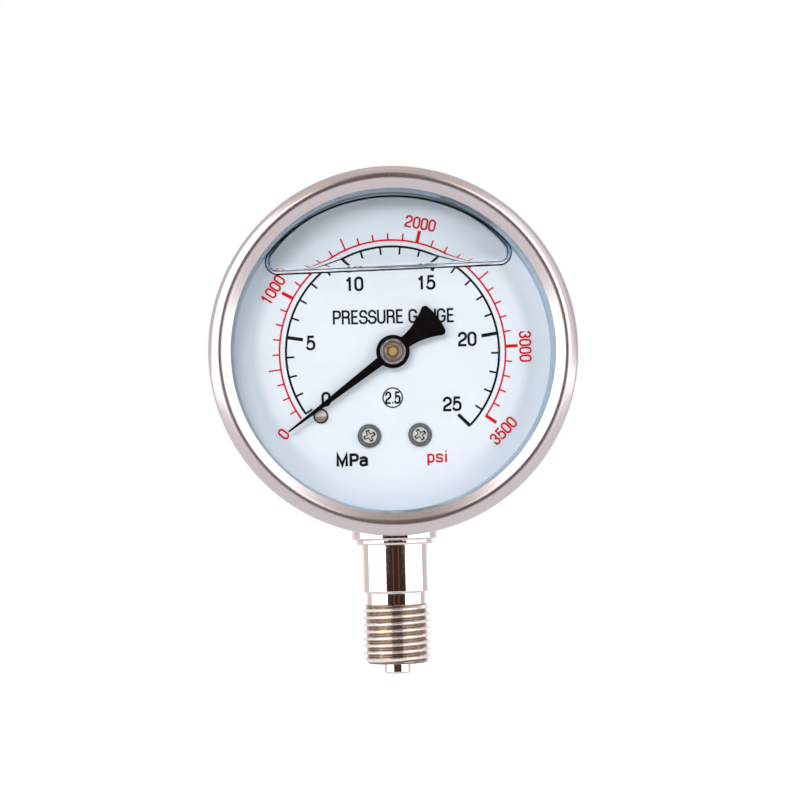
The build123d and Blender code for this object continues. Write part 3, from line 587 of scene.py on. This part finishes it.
face_radius = GLASS_RADIUS - GLASS_CHAMFER
window_outline = [
    (0, GLASS_FRONT_Y), (face_radius, GLASS_FRONT_Y), (GLASS_RADIUS, GLASS_FRONT_Y + GLASS_CHAMFER),
    (GLASS_RADIUS, GLASS_BACK_Y - GLASS_CHAMFER), (face_radius, GLASS_BACK_Y), (0, GLASS_BACK_Y),
]
pane = add_object("window", lathe(window_outline), "case", "window_glass", window)
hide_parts("window_glass")

plug_outline = rounded([
    (0, 28.6), (3.1, 28.6), (4.5, 29.7), (PLUG_HOLE_RADIUS, 29.7, 0.2), (PLUG_HOLE_RADIUS, 30.8, 0.2),
    (PLUG_HEAD_RADIUS, 30.8, 0.4), (PLUG_HEAD_RADIUS, PLUG_TOP - 0.6, 0.5), (4.6, PLUG_TOP, 0.6),
    (1.2, PLUG_TOP, 0.3), (0.9, PLUG_TOP - 0.4, 0.3), (0, PLUG_TOP - 0.4),
])
plug_mesh = lathe([(r, DIAL_Z + z) for r, z in plug_outline], "Z", (0, PLUG_Y), steps=96)
plug = add_object("filling_bung", plug_mesh, "case", "seal_rubber", rubber)
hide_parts("filling_plug")

gasket_outline = [
    (SKIRT_RADIUS, GLASS_BACK_Y), (face_radius, GLASS_BACK_Y), (GLASS_RADIUS, GLASS_BACK_Y - GLASS_CHAMFER),
    (GLASS_RADIUS, -21.35), (FLANGE_RADIUS, -21.6), (FLANGE_RADIUS, FLANGE_FRONT_Y),
    (SKIRT_OUTSIDE_RADIUS, FLANGE_FRONT_Y), (SKIRT_OUTSIDE_RADIUS, SKIRT_BACK_Y),
    (SKIRT_RADIUS, SKIRT_BACK_Y),
]
seal = add_object("window_seal", lathe(gasket_outline, closed=True), "case", "gasket_rubber", gasket)
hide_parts("window_gasket")


# ------------------------------------ stem, its thread and its collar
def thread_mesh(columns=144, rows_per_turn=14):
    """A true single-start right-hand thread, with its lead-in at the end and its run-out below the neck."""
    flank = THREAD_PITCH / 2 - THREAD_CREST
    softness = 0.35

    def radius_at(along, height):
        """The radius at a height. Crests lie at whole pitches of along, and cones cut the two ends."""
        off = abs(along - THREAD_PITCH * round(along / THREAD_PITCH))
        depth = min(max((off - THREAD_CREST / 2) / flank, 0), 1)
        soft = depth * depth * (3 - 2 * depth) * softness + depth * (1 - softness)
        lead = THREAD_RADIUS - THREAD_CHAMFER + height
        run_out = NECK_RADIUS + RUN_OUT_SLOPE * (RUN_OUT_Z - height)
        return min(THREAD_RADIUS - THREAD_DEPTH * soft, lead, run_out)

    turns = ceil(RUN_OUT_Z / THREAD_PITCH) + 2
    count = turns * rows_per_turn
    mesh = bpy.data.meshes.new("thread")
    bm = bmesh.new()
    uv = bm.loops.layers.uv.new("turned")
    grid = []
    for k in range(columns):
        column = []
        for m in range(count + 1):
            along = THREAD_PITCH * (m / rows_per_turn - 1)
            height = min(max(along - THREAD_PITCH * k / columns, 0), RUN_OUT_Z)
            radius = radius_at(height + THREAD_PITCH * k / columns, height)
            turn = -2 * pi * k / columns
            column.append(bm.verts.new((radius * cos(turn), radius * sin(turn), height)))
        grid.append(column)
    for k in range(columns):
        nearer = grid[k]
        further = grid[(k + 1) % columns]
        shift = rows_per_turn if k == columns - 1 else 0
        for m in range(count):
            low = m - shift
            if low < 0:
                continue
            face = bm.faces.new([nearer[m], nearer[m + 1], further[low + 1], further[low]])
            for loop in face.loops:
                loop[uv].uv = (k / columns, loop.vert.co.z)
    bmesh.ops.remove_doubles(bm, verts=bm.verts, dist=1e-4)
    bmesh.ops.dissolve_degenerate(bm, edges=bm.edges, dist=1e-5)
    bmesh.ops.recalc_face_normals(bm, faces=bm.faces)
    bm.to_mesh(mesh)
    bm.free()
    smooth(mesh, 30)
    return mesh


def upper_socket(cut_z):
    """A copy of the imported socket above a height."""
    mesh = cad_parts["socket"].data.copy()
    mesh.transform(Matrix.Scale(1 / MM, 4))
    bm = bmesh.new()
    bm.from_mesh(mesh)
    everything = bm.verts[:] + bm.edges[:] + bm.faces[:]
    bmesh.ops.bisect_plane(bm, geom=everything, plane_co=(0, 0, cut_z), plane_no=(0, 0, 1), clear_inner=True)
    bm.to_mesh(mesh)
    bm.free()
    return mesh


stem_top = rounded([
    (NECK_RADIUS, RUN_OUT_Z), (NECK_RADIUS, BODY_BOTTOM_Z, 0.15), (BODY_RADIUS, BODY_BOTTOM_Z, 0.3),
    (BODY_RADIUS, SOCKET_CUT_Z),
])
stem_end = rounded([
    (BORE_RADIUS, SOCKET_CUT_Z), (BORE_RADIUS, -SPIGOT_LENGTH, 0.15), (SPIGOT_RADIUS, -SPIGOT_LENGTH, 0.35),
    (SPIGOT_RADIUS, 0, 0.15), (THREAD_RADIUS - THREAD_CHAMFER, 0),
])
stem_mesh = join(lathe(stem_top, "Z"), lathe(stem_end, "Z"), thread_mesh(), upper_socket(SOCKET_CUT_Z))
for face in stem_mesh.polygons:
    from_axis = hypot(face.center.x, face.center.y)
    face.material_index = int(0 < face.center.z < RUN_OUT_Z and from_axis > THREAD_INSIDE)
stem = add_object("threaded_stem", stem_mesh, "case", "stem_steel", stem_steel, thread_steel)
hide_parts("socket")


def open_ring(outline, gap):
    """A turned ring with its split at the back."""
    mesh = lathe(outline, "Z", closed=True, steps=192)
    bm = bmesh.new()
    bm.from_mesh(mesh)
    middles = [(face, face.calc_center_median()) for face in bm.faces]
    split = [face for face, middle in middles if abs(middle.x) < gap / 2 and middle.y > 0]
    bmesh.ops.delete(bm, geom=split, context="FACES")
    bmesh.ops.holes_fill(bm, edges=[e for e in bm.edges if e.is_boundary])
    bm.to_mesh(mesh)
    bm.free()
    smooth(mesh)
    return mesh


collar_outline = rounded([
    (BODY_RADIUS, RING_BOTTOM_Z), (RING_RADIUS, RING_BOTTOM_Z, 0.4), (RING_RADIUS, BOSS_BOTTOM_Z, 0.12),
    (BODY_RADIUS, BOSS_BOTTOM_Z),
], closed=True)
collar = add_object("stem_collar", open_ring(collar_outline, RING_GAP), "case", "screw_steel", stem_steel)
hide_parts("stem_retaining_ring")

boss_outline = rounded([
    (STEM_HOLE_RADIUS, 27.0), (STEM_HOLE_RADIUS, BOSS_BOTTOM_Z, 0.1),
    (BOSS_RADIUS, BOSS_BOTTOM_Z, 0.3), (BOSS_RADIUS, 28.0),
])
boss_mesh = lathe(boss_outline, "Z", steps=192)
for vertex in boss_mesh.vertices:
    if vertex.co.z > BOSS_SADDLE_Z:
        vertex.co.z = DIAL_Z - sqrt(CASE_RADIUS ** 2 - vertex.co.x ** 2)
boss = add_object("stem_boss", boss_mesh, "case", "case_steel", stem_steel)
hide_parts("case_boss")


# ------------------------------------ dial printing
def clock(angle, radius):
    """A point on the dial, from an angle clockwise from straight up and a radius."""
    return Vector((radius * sin(radians(angle)), radius * cos(radians(angle))))


# Strokes of the characters that the dial needs: (width, [(closed, corners of the stroke's middle line)]).
# A character stands 1 high, and a corner may have a fillet radius.
BOWL = 0.235               # the fillet of a round figure's corners
CHARACTERS = {
    "0": (0.58, [(True, [(0.06, 0.06, BOWL), (0.54, 0.06, BOWL), (0.54, 0.94, BOWL), (0.06, 0.94, BOWL)])]),
    "1": (0.58, [(False, [(0.33, 0), (0.33, 1)]), (False, [(0.10, 0.74), (0.24, 0.77, 0.12), (0.33, 0.97)])]),
    "2": (0.58, [(False, [(0.06, 0.66), (0.06, 0.94, BOWL), (0.54, 0.94, BOWL), (0.54, 0.56, 0.2),
                          (0.08, 0.28, 0.2), (0.06, 0.06), (0.57, 0.06)])]),
    "3": (0.58, [(False, [(0.06, 0.70), (0.06, 0.94, 0.22), (0.52, 0.94, 0.22), (0.52, 0.52, 0.2),
                          (0.26, 0.52)]),
                 (False, [(0.26, 0.52), (0.54, 0.52, 0.22), (0.54, 0.06, BOWL), (0.05, 0.06, BOWL),
                          (0.05, 0.29)])]),
    "5": (0.58, [(False, [(0.53, 0.94), (0.15, 0.94), (0.10, 0.50), (0.18, 0.635, 0.1), (0.54, 0.635, BOWL),
                          (0.54, 0.06, BOWL), (0.05, 0.06, 0.18), (0.04, 0.25)])]),
    ".": (0.24, [(False, [(0.05, 0.065), (0.19, 0.065)])]),
    "P": (0.62, [(False, [(0.1, 0), (0.1, 0.94), (0.56, 0.94, 0.2), (0.56, 0.46, 0.2), (0.1, 0.46)])]),
    "R": (0.66, [(False, [(0.1, 0), (0.1, 0.94), (0.56, 0.94, 0.2), (0.56, 0.50, 0.2), (0.1, 0.50)]),
                 (False, [(0.34, 0.50), (0.56, 0.46, 0.12), (0.56, 0)])]),
    "E": (0.58, [(False, [(0.54, 0.06), (0.1, 0.06), (0.1, 0.94), (0.52, 0.94)]),
                 (False, [(0.1, 0.52), (0.49, 0.52)])]),
    "S": (0.62, [(False, [(0.55, 0.69), (0.55, 0.94, BOWL), (0.08, 0.94, BOWL), (0.08, 0.53, 0.18),
                          (0.57, 0.49, 0.18), (0.57, 0.06, BOWL), (0.05, 0.06, BOWL), (0.05, 0.31)])]),
    "U": (0.66, [(False, [(0.09, 1), (0.09, 0.06, 0.23), (0.57, 0.06, 0.23), (0.57, 1)])]),
    "G": (0.68, [(False, [(0.57, 0.68), (0.57, 0.94, BOWL), (0.07, 0.94, BOWL), (0.07, 0.06, BOWL),
                          (0.58, 0.06, BOWL), (0.58, 0.46), (0.34, 0.46)])]),
    "A": (0.66, [(False, [(0.03, 0), (0.33, 0.98), (0.63, 0)]), (False, [(0.15, 0.30), (0.51, 0.30)])]),
    "M": (0.80, [(False, [(0.1, 0), (0.1, 0.95), (0.4, 0.12), (0.7, 0.95), (0.7, 0)])]),
    "a": (0.56, [(False, [(0.07, 0.53), (0.07, 0.68, 0.13), (0.46, 0.68, 0.16), (0.46, 0)]),
                 (False, [(0.46, 0.42), (0.06, 0.40, 0.15), (0.06, 0.06, 0.15), (0.46, 0.06, 0.2),
                          (0.46, 0.30)])]),
    "p": (0.58, [(False, [(0.1, -0.25), (0.1, 0.73)]),
                 (True, [(0.1, 0.06, 0.18), (0.5, 0.06, 0.2), (0.5, 0.67, 0.2), (0.1, 0.67, 0.18)])]),
    "s": (0.52, [(False, [(0.45, 0.52), (0.45, 0.68, 0.13), (0.07, 0.68, 0.13), (0.07, 0.39, 0.12),
                          (0.46, 0.35, 0.12), (0.46, 0.06, 0.13), (0.05, 0.06, 0.13), (0.05, 0.21)])]),
    "i": (0.26, [(False, [(0.13, 0), (0.13, 0.73)]), (False, [(0.13, 0.86), (0.13, 1)])]),
    " ": (0.30, []),
}
MITRE_LIMIT = 0.35         # keeps the points of sharp bends short


class Print:
    """Flat ink on the dial's face, in one colour."""

    def __init__(self):
        self.bm = bmesh.new()
        self.front = DIAL_FRONT_Y - INK

    def strip(self, path, width, closed=False):
        """A band of even width along a path of (x, z) points."""
        points = [Vector(p) for p in path]
        points = [p for i, p in enumerate(points) if i == 0 or (p - points[i - 1]).length > 1e-4]
        count = len(points)
        edges = []
        for i, point in enumerate(points):
            ahead = points[(i + 1) % count] - point if closed or i < count - 1 else point - points[i - 1]
            behind = point - points[i - 1] if closed or i > 0 else ahead
            sides = [Vector((-v.y, v.x)).normalized() for v in (behind, ahead)]
            middle = (sides[0] + sides[1]).normalized()
            reach = width / 2 / max(middle.dot(sides[1]), MITRE_LIMIT)
            edges.append((point + middle * reach, point - middle * reach))
        self.front -= INK_STEP
        for i in range(count if closed else count - 1):
            a, b = edges[i], edges[(i + 1) % count]
            self.patch([a[0], b[0], b[1], a[1]])

    def patch(self, corners):
        """One flat patch between (x, z) corners."""
        made = self.bm.faces.new([self.bm.verts.new((x, self.front, DIAL_Z + z)) for x, z in corners])
        made.normal_update()
        if made.normal.y > 0:
            made.normal_flip()

    def arc(self, radius, start, end, width, step=1.5):
        steps = max(2, ceil(abs(end - start) / step))
        self.strip([clock(start + (end - start) * k / steps, radius) for k in range(steps + 1)], width)

    def ring(self, centre, radius, width, sides=48):
        corners = [Vector(centre) + clock(360 * k / sides, radius) for k in range(sides)]
        self.strip(corners, width, closed=True)

    def tick(self, angle, start, end, width):
        self.strip([clock(angle, start), clock(angle, end)], width)

    def text(self, words, x, z, height, turn=0.0, squeeze=1.0, weight=0.16, gap=0.10):
        """Words centred on (x, z), as high as given, turned anticlockwise by an angle in degrees."""
        widths = [CHARACTERS[c][0] * squeeze + gap for c in words]
        left = -(sum(widths) - gap) / 2
        spin = Matrix.Rotation(radians(turn), 2)
        for character, width in zip(words, widths):
            for closed, corners in CHARACTERS[character][1]:
                line = rounded(corners, closed, steps=7)
                placed = [Vector((left + u * squeeze, v - 0.5)) * height for u, v in line]
                self.strip([Vector((x, z)) + spin @ p for p in placed], weight * height, closed)
            left += width

    def finish(self, name, material):
        mesh = bpy.data.meshes.new(name)
        self.bm.to_mesh(mesh)
        self.bm.free()
        add_object(name, mesh, "case", "dial_paint", material)


dial_outline = [
    (DIAL_HOLE_RADIUS, DIAL_FRONT_Y), (DIAL_RADIUS, DIAL_FRONT_Y), (DIAL_RADIUS, DIAL_BACK_Y),
    (DIAL_HOLE_RADIUS, DIAL_BACK_Y),
]
face_plate = add_object("dial_face", lathe(dial_outline, closed=True), "case", "dial_paint", dial_paint)
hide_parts("dial_plate")

mpa_print = Print()
mpa_print.arc(MPA_ARC, -124.0, 135.0, 0.42)
for value in range(1, MPA_FULL + 1):
    length, width = MPA_LONG_TICK if value % 5 == 0 else MPA_SHORT_TICK
    mpa_print.tick(SCALE_START + value * DEGREES_PER_MPA, MPA_ARC + TICK_OVERLAP, MPA_ARC - length, width)
for words, x, z in (("5", -15.2, 2.0), ("10", -6.9, 12.8), ("15", 6.5, 12.8), ("20", 13.9, 2.1),
                    ("25", 10.8, -9.9), ("0", -12.6, -8.5)):
    mpa_print.text(words, x, z, FIGURE_HEIGHT, weight=0.18)
mpa_print.text("PRESSURE GAUGE", 0.3, 6.6, FIGURE_HEIGHT, squeeze=0.965, weight=0.15, gap=0.035)
mpa_print.text("2.5", -0.2, -8.5, SMALL_HEIGHT, weight=0.17, squeeze=0.76, gap=0.07)
mpa_print.ring((-0.2, -8.5), 1.8, 0.25)
mpa_print.text("MPa", -8.0, -19.9, SMALL_HEIGHT, weight=0.23, squeeze=1.22)
mpa_print.finish("dial_print_black", ink_black)

psi_print = Print()
psi_print.arc(PSI_ARC, -125.0, SCALE_START + PSI_FULL * DEGREES_PER_PSI, 0.34)
for value in range(200, PSI_FULL + 1, 100):
    bold = value % 1000 == 0 or value == PSI_FULL
    length = PSI_TICK_LENGTHS[0 if value % 500 == 0 else 1]
    width = PSI_TICK_WIDTHS[0 if bold else 1]
    psi_print.tick(SCALE_START + value * DEGREES_PER_PSI, PSI_ARC - TICK_OVERLAP, PSI_ARC + length, width)
for words, x, z, turn in (("1000", -21.95, 12.0, 56), ("2000", 5.8, 24.0, -12), ("3000", 24.7, 0.5, -90),
                          ("3500", 20.2, -15.1, 45), ("0", -20.6, -14.8, 50)):
    psi_print.text(words, x, z, SMALL_HEIGHT, turn, squeeze=0.95)
psi_print.text("psi", 7.8, -19.6, 2.2, weight=0.165, squeeze=1.15)
psi_print.finish("dial_print_red", ink_red)

# ------------------------------------ pointer's hub, stop pin and screws
hub_outline = rounded([
    (SPINDLE_RADIUS, HUB_BACK_Y), (HUB_NECK_RADIUS, HUB_BACK_Y), (HUB_NECK_RADIUS, POINTER_FRONT_Y),
    (HUB_RADIUS, POINTER_FRONT_Y, 0.1), (HUB_RADIUS, -16.6, 0.15), (2.05, HUB_FRONT_Y, 0.2),
    (1.5, HUB_FRONT_Y, 0.2), (1.25, HUB_FACE_Y, 0.2), (SPINDLE_RADIUS, HUB_FACE_Y),
], closed=True)
hub_mesh = lathe(hub_outline, closed=True, steps=96)
hub = add_object("pointer_boss", hub_mesh, "spindle", "hub_nickel", hub_nickel)
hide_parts("pointer_hub")

stop_centre = clock(STOP_ANGLE, STOP_DISTANCE)
pin_outline = rounded([
    (0, DIAL_BACK_Y), (STOP_SHANK_RADIUS, DIAL_BACK_Y), (STOP_SHANK_RADIUS, DIAL_FRONT_Y),
    (STOP_RADIUS, DIAL_FRONT_Y), (STOP_RADIUS, STOP_BASE_Y, 0.15), (STOP_DOME_RADIUS, STOP_BASE_Y),
    (STOP_DOME_RADIUS, STOP_FRONT_Y + 0.28, 0.5), (0.3, STOP_FRONT_Y, 0.5), (0, STOP_FRONT_Y),
], steps=10)
pin_mesh = lathe(pin_outline, at=stop_centre, steps=64)
pin = add_object("zero_stop", pin_mesh, "case", "pin_steel", pin_steel, painted_shade_and_reflection, pin_shade)
# the pin's rim gets a painted dark outline and its lower half a darker painted tone, both standing for
# reflections
for face in pin.data.polygons:
    from_axis = Vector((face.center.x, face.center.z)) / MM - stop_centre - Vector((0, DIAL_Z))
    on_rim = from_axis.length > STOP_DOME_RADIUS - 0.03
    face.material_index = 1 if on_rim else 2 if from_axis.y < -0.1 else 0
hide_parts("pointer_stop_pin")


def cross(width, reach, fillet=0.1):
    """The outline of a cross with four arms."""
    half = width / 2
    corners = []
    for quarter in range(4):
        spin = Matrix.Rotation(quarter * pi / 2, 2)
        for corner in ((reach, -half), (reach, half), (half, half)):
            corners.append((*(spin @ Vector(corner)), fillet))
    return rounded(corners, closed=True, steps=3)


def screw_mesh(centre, turn):
    """A pan-head screw with a tapered cross recess.

    Material 0 is its head, 1 its seat and the recess's floor in a bright painted reflection, and 2 the
    recess's walls in painted shade.
    """
    seat_y = DIAL_FRONT_Y - 1.2
    floor_y = DIAL_FRONT_Y - 0.6
    outline = rounded([
        (0, DIAL_SCREW_END_Y), (DIAL_SCREW_SHANK - 0.2, DIAL_SCREW_END_Y),
        (DIAL_SCREW_SHANK, DIAL_SCREW_END_Y - 0.2), (DIAL_SCREW_SHANK, DIAL_FRONT_Y),
        (DIAL_SCREW_RADIUS, DIAL_FRONT_Y), (DIAL_SCREW_RADIUS, -14.45, 0.15), (1.95, -14.85, 0.4),
        (1.35, seat_y),
    ])
    mesh = lathe(outline, at=centre, steps=64)
    bm = bmesh.new()
    bm.from_mesh(mesh)
    edges = [edge for edge in bm.edges if edge.is_boundary]
    spin = Matrix.Rotation(radians(turn), 2)
    loops = []
    for (width, reach), depth in ((RECESS_TOP, seat_y), (RECESS_FLOOR, floor_y)):
        placed = [spin @ Vector(corner) for corner in cross(width, reach)]
        loops.append([bm.verts.new((centre[0] + p.x, depth, DIAL_Z + centre[1] + p.y)) for p in placed])
    top, floor = loops
    count = len(top)
    for k in range(count):
        wall_face = bm.faces.new([top[k], top[(k + 1) % count], floor[(k + 1) % count], floor[k]])
        wall_face.material_index = 2
    bm.faces.new(floor).material_index = 1
    edges += [bm.edges.get((top[k], top[(k + 1) % count])) for k in range(count)]
    for part in bmesh.ops.triangle_fill(bm, edges=edges, use_beauty=True)["geom"]:
        if isinstance(part, bmesh.types.BMFace):
            part.material_index = 1
    bmesh.ops.recalc_face_normals(bm, faces=bm.faces)
    bm.to_mesh(mesh)
    bm.free()
    return mesh


screws_mesh = join(*(screw_mesh((side * SCREW_SPACING / 2, -SCREW_DROP), turn)
                     for side, turn in zip((-1, 1), SCREW_TURNS)))
# the head's own finish, then the seats' bright painted reflection and the recess walls' painted shade
screws = add_object("dial_screw_pair", screws_mesh, "case", "screw_steel",
                    screw_black, recess_painted_reflection, painted_shade_and_reflection)
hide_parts("dial_screws")

for node_name in ("pinion_shaft", "pointer"):
    smooth(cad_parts[node_name].data, 30)
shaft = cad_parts["pinion_shaft"].data
shaft.materials.append(gilt)
for face in shaft.polygons:
    face.material_index = int(face.center.y / MM < POINTER_FRONT_Y - 0.5)


# ------------------------------------ liquid filling and its air pocket
def pocket_mesh(steps=28):
    """The air over the liquid: a flat D from the pane to the dial, with its edge rounded by the liquid.

    Its lower edge is a full half-round. Along the case's wall the rounding shrinks with the height.
    """
    front = GLASS_BACK_Y + POCKET_GAP
    back = DIAL_FRONT_Y - POCKET_GAP
    half = (back - front) / 2
    fillet = MENISCUS + 0.1
    aside = sqrt((POCKET_RADIUS - fillet) ** 2 - (LEVEL + fillet) ** 2)
    corner = degrees(atan2(aside, LEVEL + fillet))
    outline = []
    for k in range(steps * 2):
        outline.append((Vector((aside * (k / steps - 1), LEVEL)), Vector((0, -1))))
    for side in (1, -1):
        centre = Vector((side * aside, LEVEL + fillet))
        bend = [clock(side * (180 - (180 - corner) * k / steps), 1) for k in range(steps)]
        if side == 1:
            outline += [(centre + fillet * n, n) for n in bend]
            sweep = [clock(corner - 2 * corner * k / (3 * steps), 1) for k in range(3 * steps)]
            outline += [((POCKET_RADIUS - POCKET_SAG * max(n.y, 0) ** 6) * n, n) for n in sweep]
        else:
            outline += [(centre + fillet * n, n) for n in reversed(bend + [clock(-corner, 1)])]
    tilt = Matrix.Rotation(radians(LEVEL_TILT), 2)
    bm = bmesh.new()
    loops = []
    rims = []              # each point's inset, or more than any rim's on the pocket's back half
    for point, normal in outline:
        rise = max(point.y - LEVEL - fillet, 0)
        edge = max(CORNER_FILM, MENISCUS * MENISCUS_FADE / (MENISCUS_FADE + rise))
        section = rounded([(edge, front), (0, front, edge * 0.999), (0, front + half),
                           (0, back, min(edge, half) * 0.999), (edge, back)], steps=14)
        loop = []
        for inset, depth in section:
            place = tilt @ (point - normal * inset)
            loop.append(bm.verts.new((place.x, depth, DIAL_Z + place.y)))
        loops.append(loop)
        rims.append([inset if depth <= front + half + 0.01 else 1.0 for inset, depth in section])
    rows = len(loops[0])
    for i, loop in enumerate(loops):
        following = loops[(i + 1) % len(loops)]
        for j in range(rows - 1):
            face = bm.faces.new([loop[j], following[j], following[j + 1], loop[j + 1]])
            # faces on the front rim take the near-black painted reflection
            face.material_index = int(max(rims[i][j], rims[i][j + 1]) < RIM_WIDTH)
    bm.faces.new([loop[0] for loop in loops])
    bm.faces.new([loop[-1] for loop in reversed(loops)])
    bmesh.ops.recalc_face_normals(bm, faces=bm.faces)
    bmesh.ops.reverse_faces(bm, faces=bm.faces)
    mesh = bpy.data.meshes.new("air_pocket")
    bm.to_mesh(mesh)
    bm.free()
    smooth(mesh, 40)
    return mesh


liquid_outline = [(0, LIQUID_FRONT_Y), (LIQUID_RADIUS, LIQUID_FRONT_Y), (LIQUID_RADIUS, LIQUID_BACK_Y),
                  (0, LIQUID_BACK_Y)]
filling_mesh = join(lathe(liquid_outline), pocket_mesh())
add_object("glycerine_fill", filling_mesh, "case", "window_glass", liquid, rim_material())


# ------------------------------------ studio
def reflected_only(name, mesh, colour, strength):
    """A glowing card that is seen only in the metal and the glass."""
    shader = Shader(name)
    glow = shader.node("ShaderNodeEmission")
    glow.inputs["Color"].default_value = (*colour, 1)
    glow.inputs["Strength"].default_value = strength
    shader.link(glow.outputs["Emission"], shader.output.inputs["Surface"])
    shader.tree.nodes.remove(shader.surface)
    mesh.materials.append(shader.material)
    card = new_object(name, mesh)
    card.visible_camera = False
    card.visible_diffuse = False
    card.visible_shadow = False


def wall(name, start, end, low, high, colour, strength, distance=0.75):
    """A curved card round the object.

    Angles are azimuths in degrees from straight in front, positive to the right. Low and high are elevations
    as seen from the bezel.
    """
    mesh = bpy.data.meshes.new(name)
    bm = bmesh.new()
    steps = max(2, ceil(abs(end - start) / 4))
    lower, upper = [], []
    for k in range(steps + 1):
        turn = radians(start + (end - start) * k / steps)
        x, y = distance * sin(turn), -distance * cos(turn)
        lower.append(bm.verts.new((x, y, DIAL_Z * MM + distance * tan(radians(low)))))
        upper.append(bm.verts.new((x, y, DIAL_Z * MM + distance * tan(radians(high)))))
    for k in range(steps):
        bm.faces.new([lower[k], lower[k + 1], upper[k + 1], upper[k]])
    bm.to_mesh(mesh)
    bm.free()
    reflected_only(name, mesh, colour, strength)


STEM_VIEW = -3             # over this elevation the cards show in the bezel, and under it in the stem
DARK = (0.05, 0.03, 0.026)
DEEP_RED = (0.30, 0.10, 0.07)
SOFT_WHITE = (1.0, 0.97, 0.96)
WARM_WHITE = (1.0, 0.985, 0.97)
wall("dark_room", -21, 21, STEM_VIEW, 64, DARK, 1.0)
wall("dark_floor", -34, 34, -20, STEM_VIEW, DARK, 1.0)
wall("red_edge_left", -10, -7.5, -60, 62, DEEP_RED, 1.0, 0.74)
wall("red_edge_right", 9, 11, -60, 62, DEEP_RED, 1.0, 0.74)
wall("soft_box_left", -76, -21, STEM_VIEW, 50, SOFT_WHITE, 2.4)
wall("soft_box_right", 21, 68, STEM_VIEW, 50, SOFT_WHITE, 2.2)
wall("soft_floor_left", -107, -34, -20, STEM_VIEW, SOFT_WHITE, 2.6)
wall("soft_floor_right", 34, 107, -20, STEM_VIEW, SOFT_WHITE, 2.4)
wall("ceiling", -180, 180, 42, 80, (1.0, 0.86, 0.80), 0.8, 0.8)
wall("grey_side_left", -140, -76, STEM_VIEW, 70, (0.85, 0.76, 0.79), 0.95)
wall("grey_side_right", 68, 140, STEM_VIEW, 70, (0.85, 0.78, 0.84), 0.9)
wall("grey_floor_left", -140, -107, -60, STEM_VIEW, (0.85, 0.78, 0.80), 1.0)
wall("grey_floor_right", 107, 140, -60, STEM_VIEW, (0.85, 0.80, 0.86), 0.9)


def level_square(name, size, height):
    mesh = bpy.data.meshes.new(name)
    corners = [(-size, -size, height), (size, -size, height), (size, size, height), (-size, size, height)]
    mesh.from_pydata(corners, [], [(0, 1, 2, 3)])
    return mesh


reflected_only("floor_tone", level_square("floor_tone", 1.5, -0.088), (0.95, 0.90, 0.94), 1.0)
floor_mesh = level_square("floor", 4, -0.09)
floor_paint = coating("floor_paint", (0.92, 0.90, 0.89), 0.6, scale=20, depth=0.01)
glow = floor_paint.node_tree.nodes["Principled BSDF"]
glow.inputs["Emission Color"].default_value = (1, 0.97, 0.96, 1)
glow.inputs["Emission Strength"].default_value = 0.25
floor_mesh.materials.append(floor_paint)
floor = new_object("floor", floor_mesh)


def lamp(name, place, aim, size, power, colour):
    data = bpy.data.lights.new(name, "AREA")
    data.shape = "DISK"
    data.size = size
    data.energy = power
    data.color = colour
    made = new_object(name, data)
    made.location = place
    made.rotation_euler = (Vector(aim) - Vector(place)).to_track_quat("-Z", "Y").to_euler()
    made.visible_glossy = False


AIM = (0, -0.015, DIAL_Z * MM)
lamp("key", (-0.30, -1.0, 0.42), AIM, 0.40, 4.4, WARM_WHITE)
lamp("low_fill", (0.0, -0.95, -0.28), AIM, 0.40, 1.5, (0.72, 0.88, 1.0))
for name, x in (("side_left", -0.72), ("side_right", 0.72)):
    lamp(name, (x, -0.74, 0.32), AIM, 0.22, 1.3, WARM_WHITE)

world = bpy.context.scene.world or bpy.data.worlds.new("World")
bpy.context.scene.world = world
world.use_nodes = True
sky = world.node_tree.nodes["Background"]
sky.inputs["Color"].default_value = (1, 1, 1, 1)
sky.inputs["Strength"].default_value = 1.0
bpy.context.scene.view_settings.view_transform = "Standard"

# ------------------------------------ camera
eye = Vector((-15.2, -462.0, 33.4)) * MM
target = Vector((0.9, -22.0, 49.4)) * MM
view = bpy.data.cameras.new("camera")
view.lens = 108.4
view.sensor_width = 36.0
camera_roll = radians(-1.4)
camera = new_object("camera", view)
camera.location = eye
facing = (target - eye).to_track_quat("-Z", "Y").to_matrix().to_4x4()
camera.rotation_euler = (facing @ Matrix.Rotation(camera_roll, 4, "Z")).to_euler()
bpy.context.scene.camera = camera
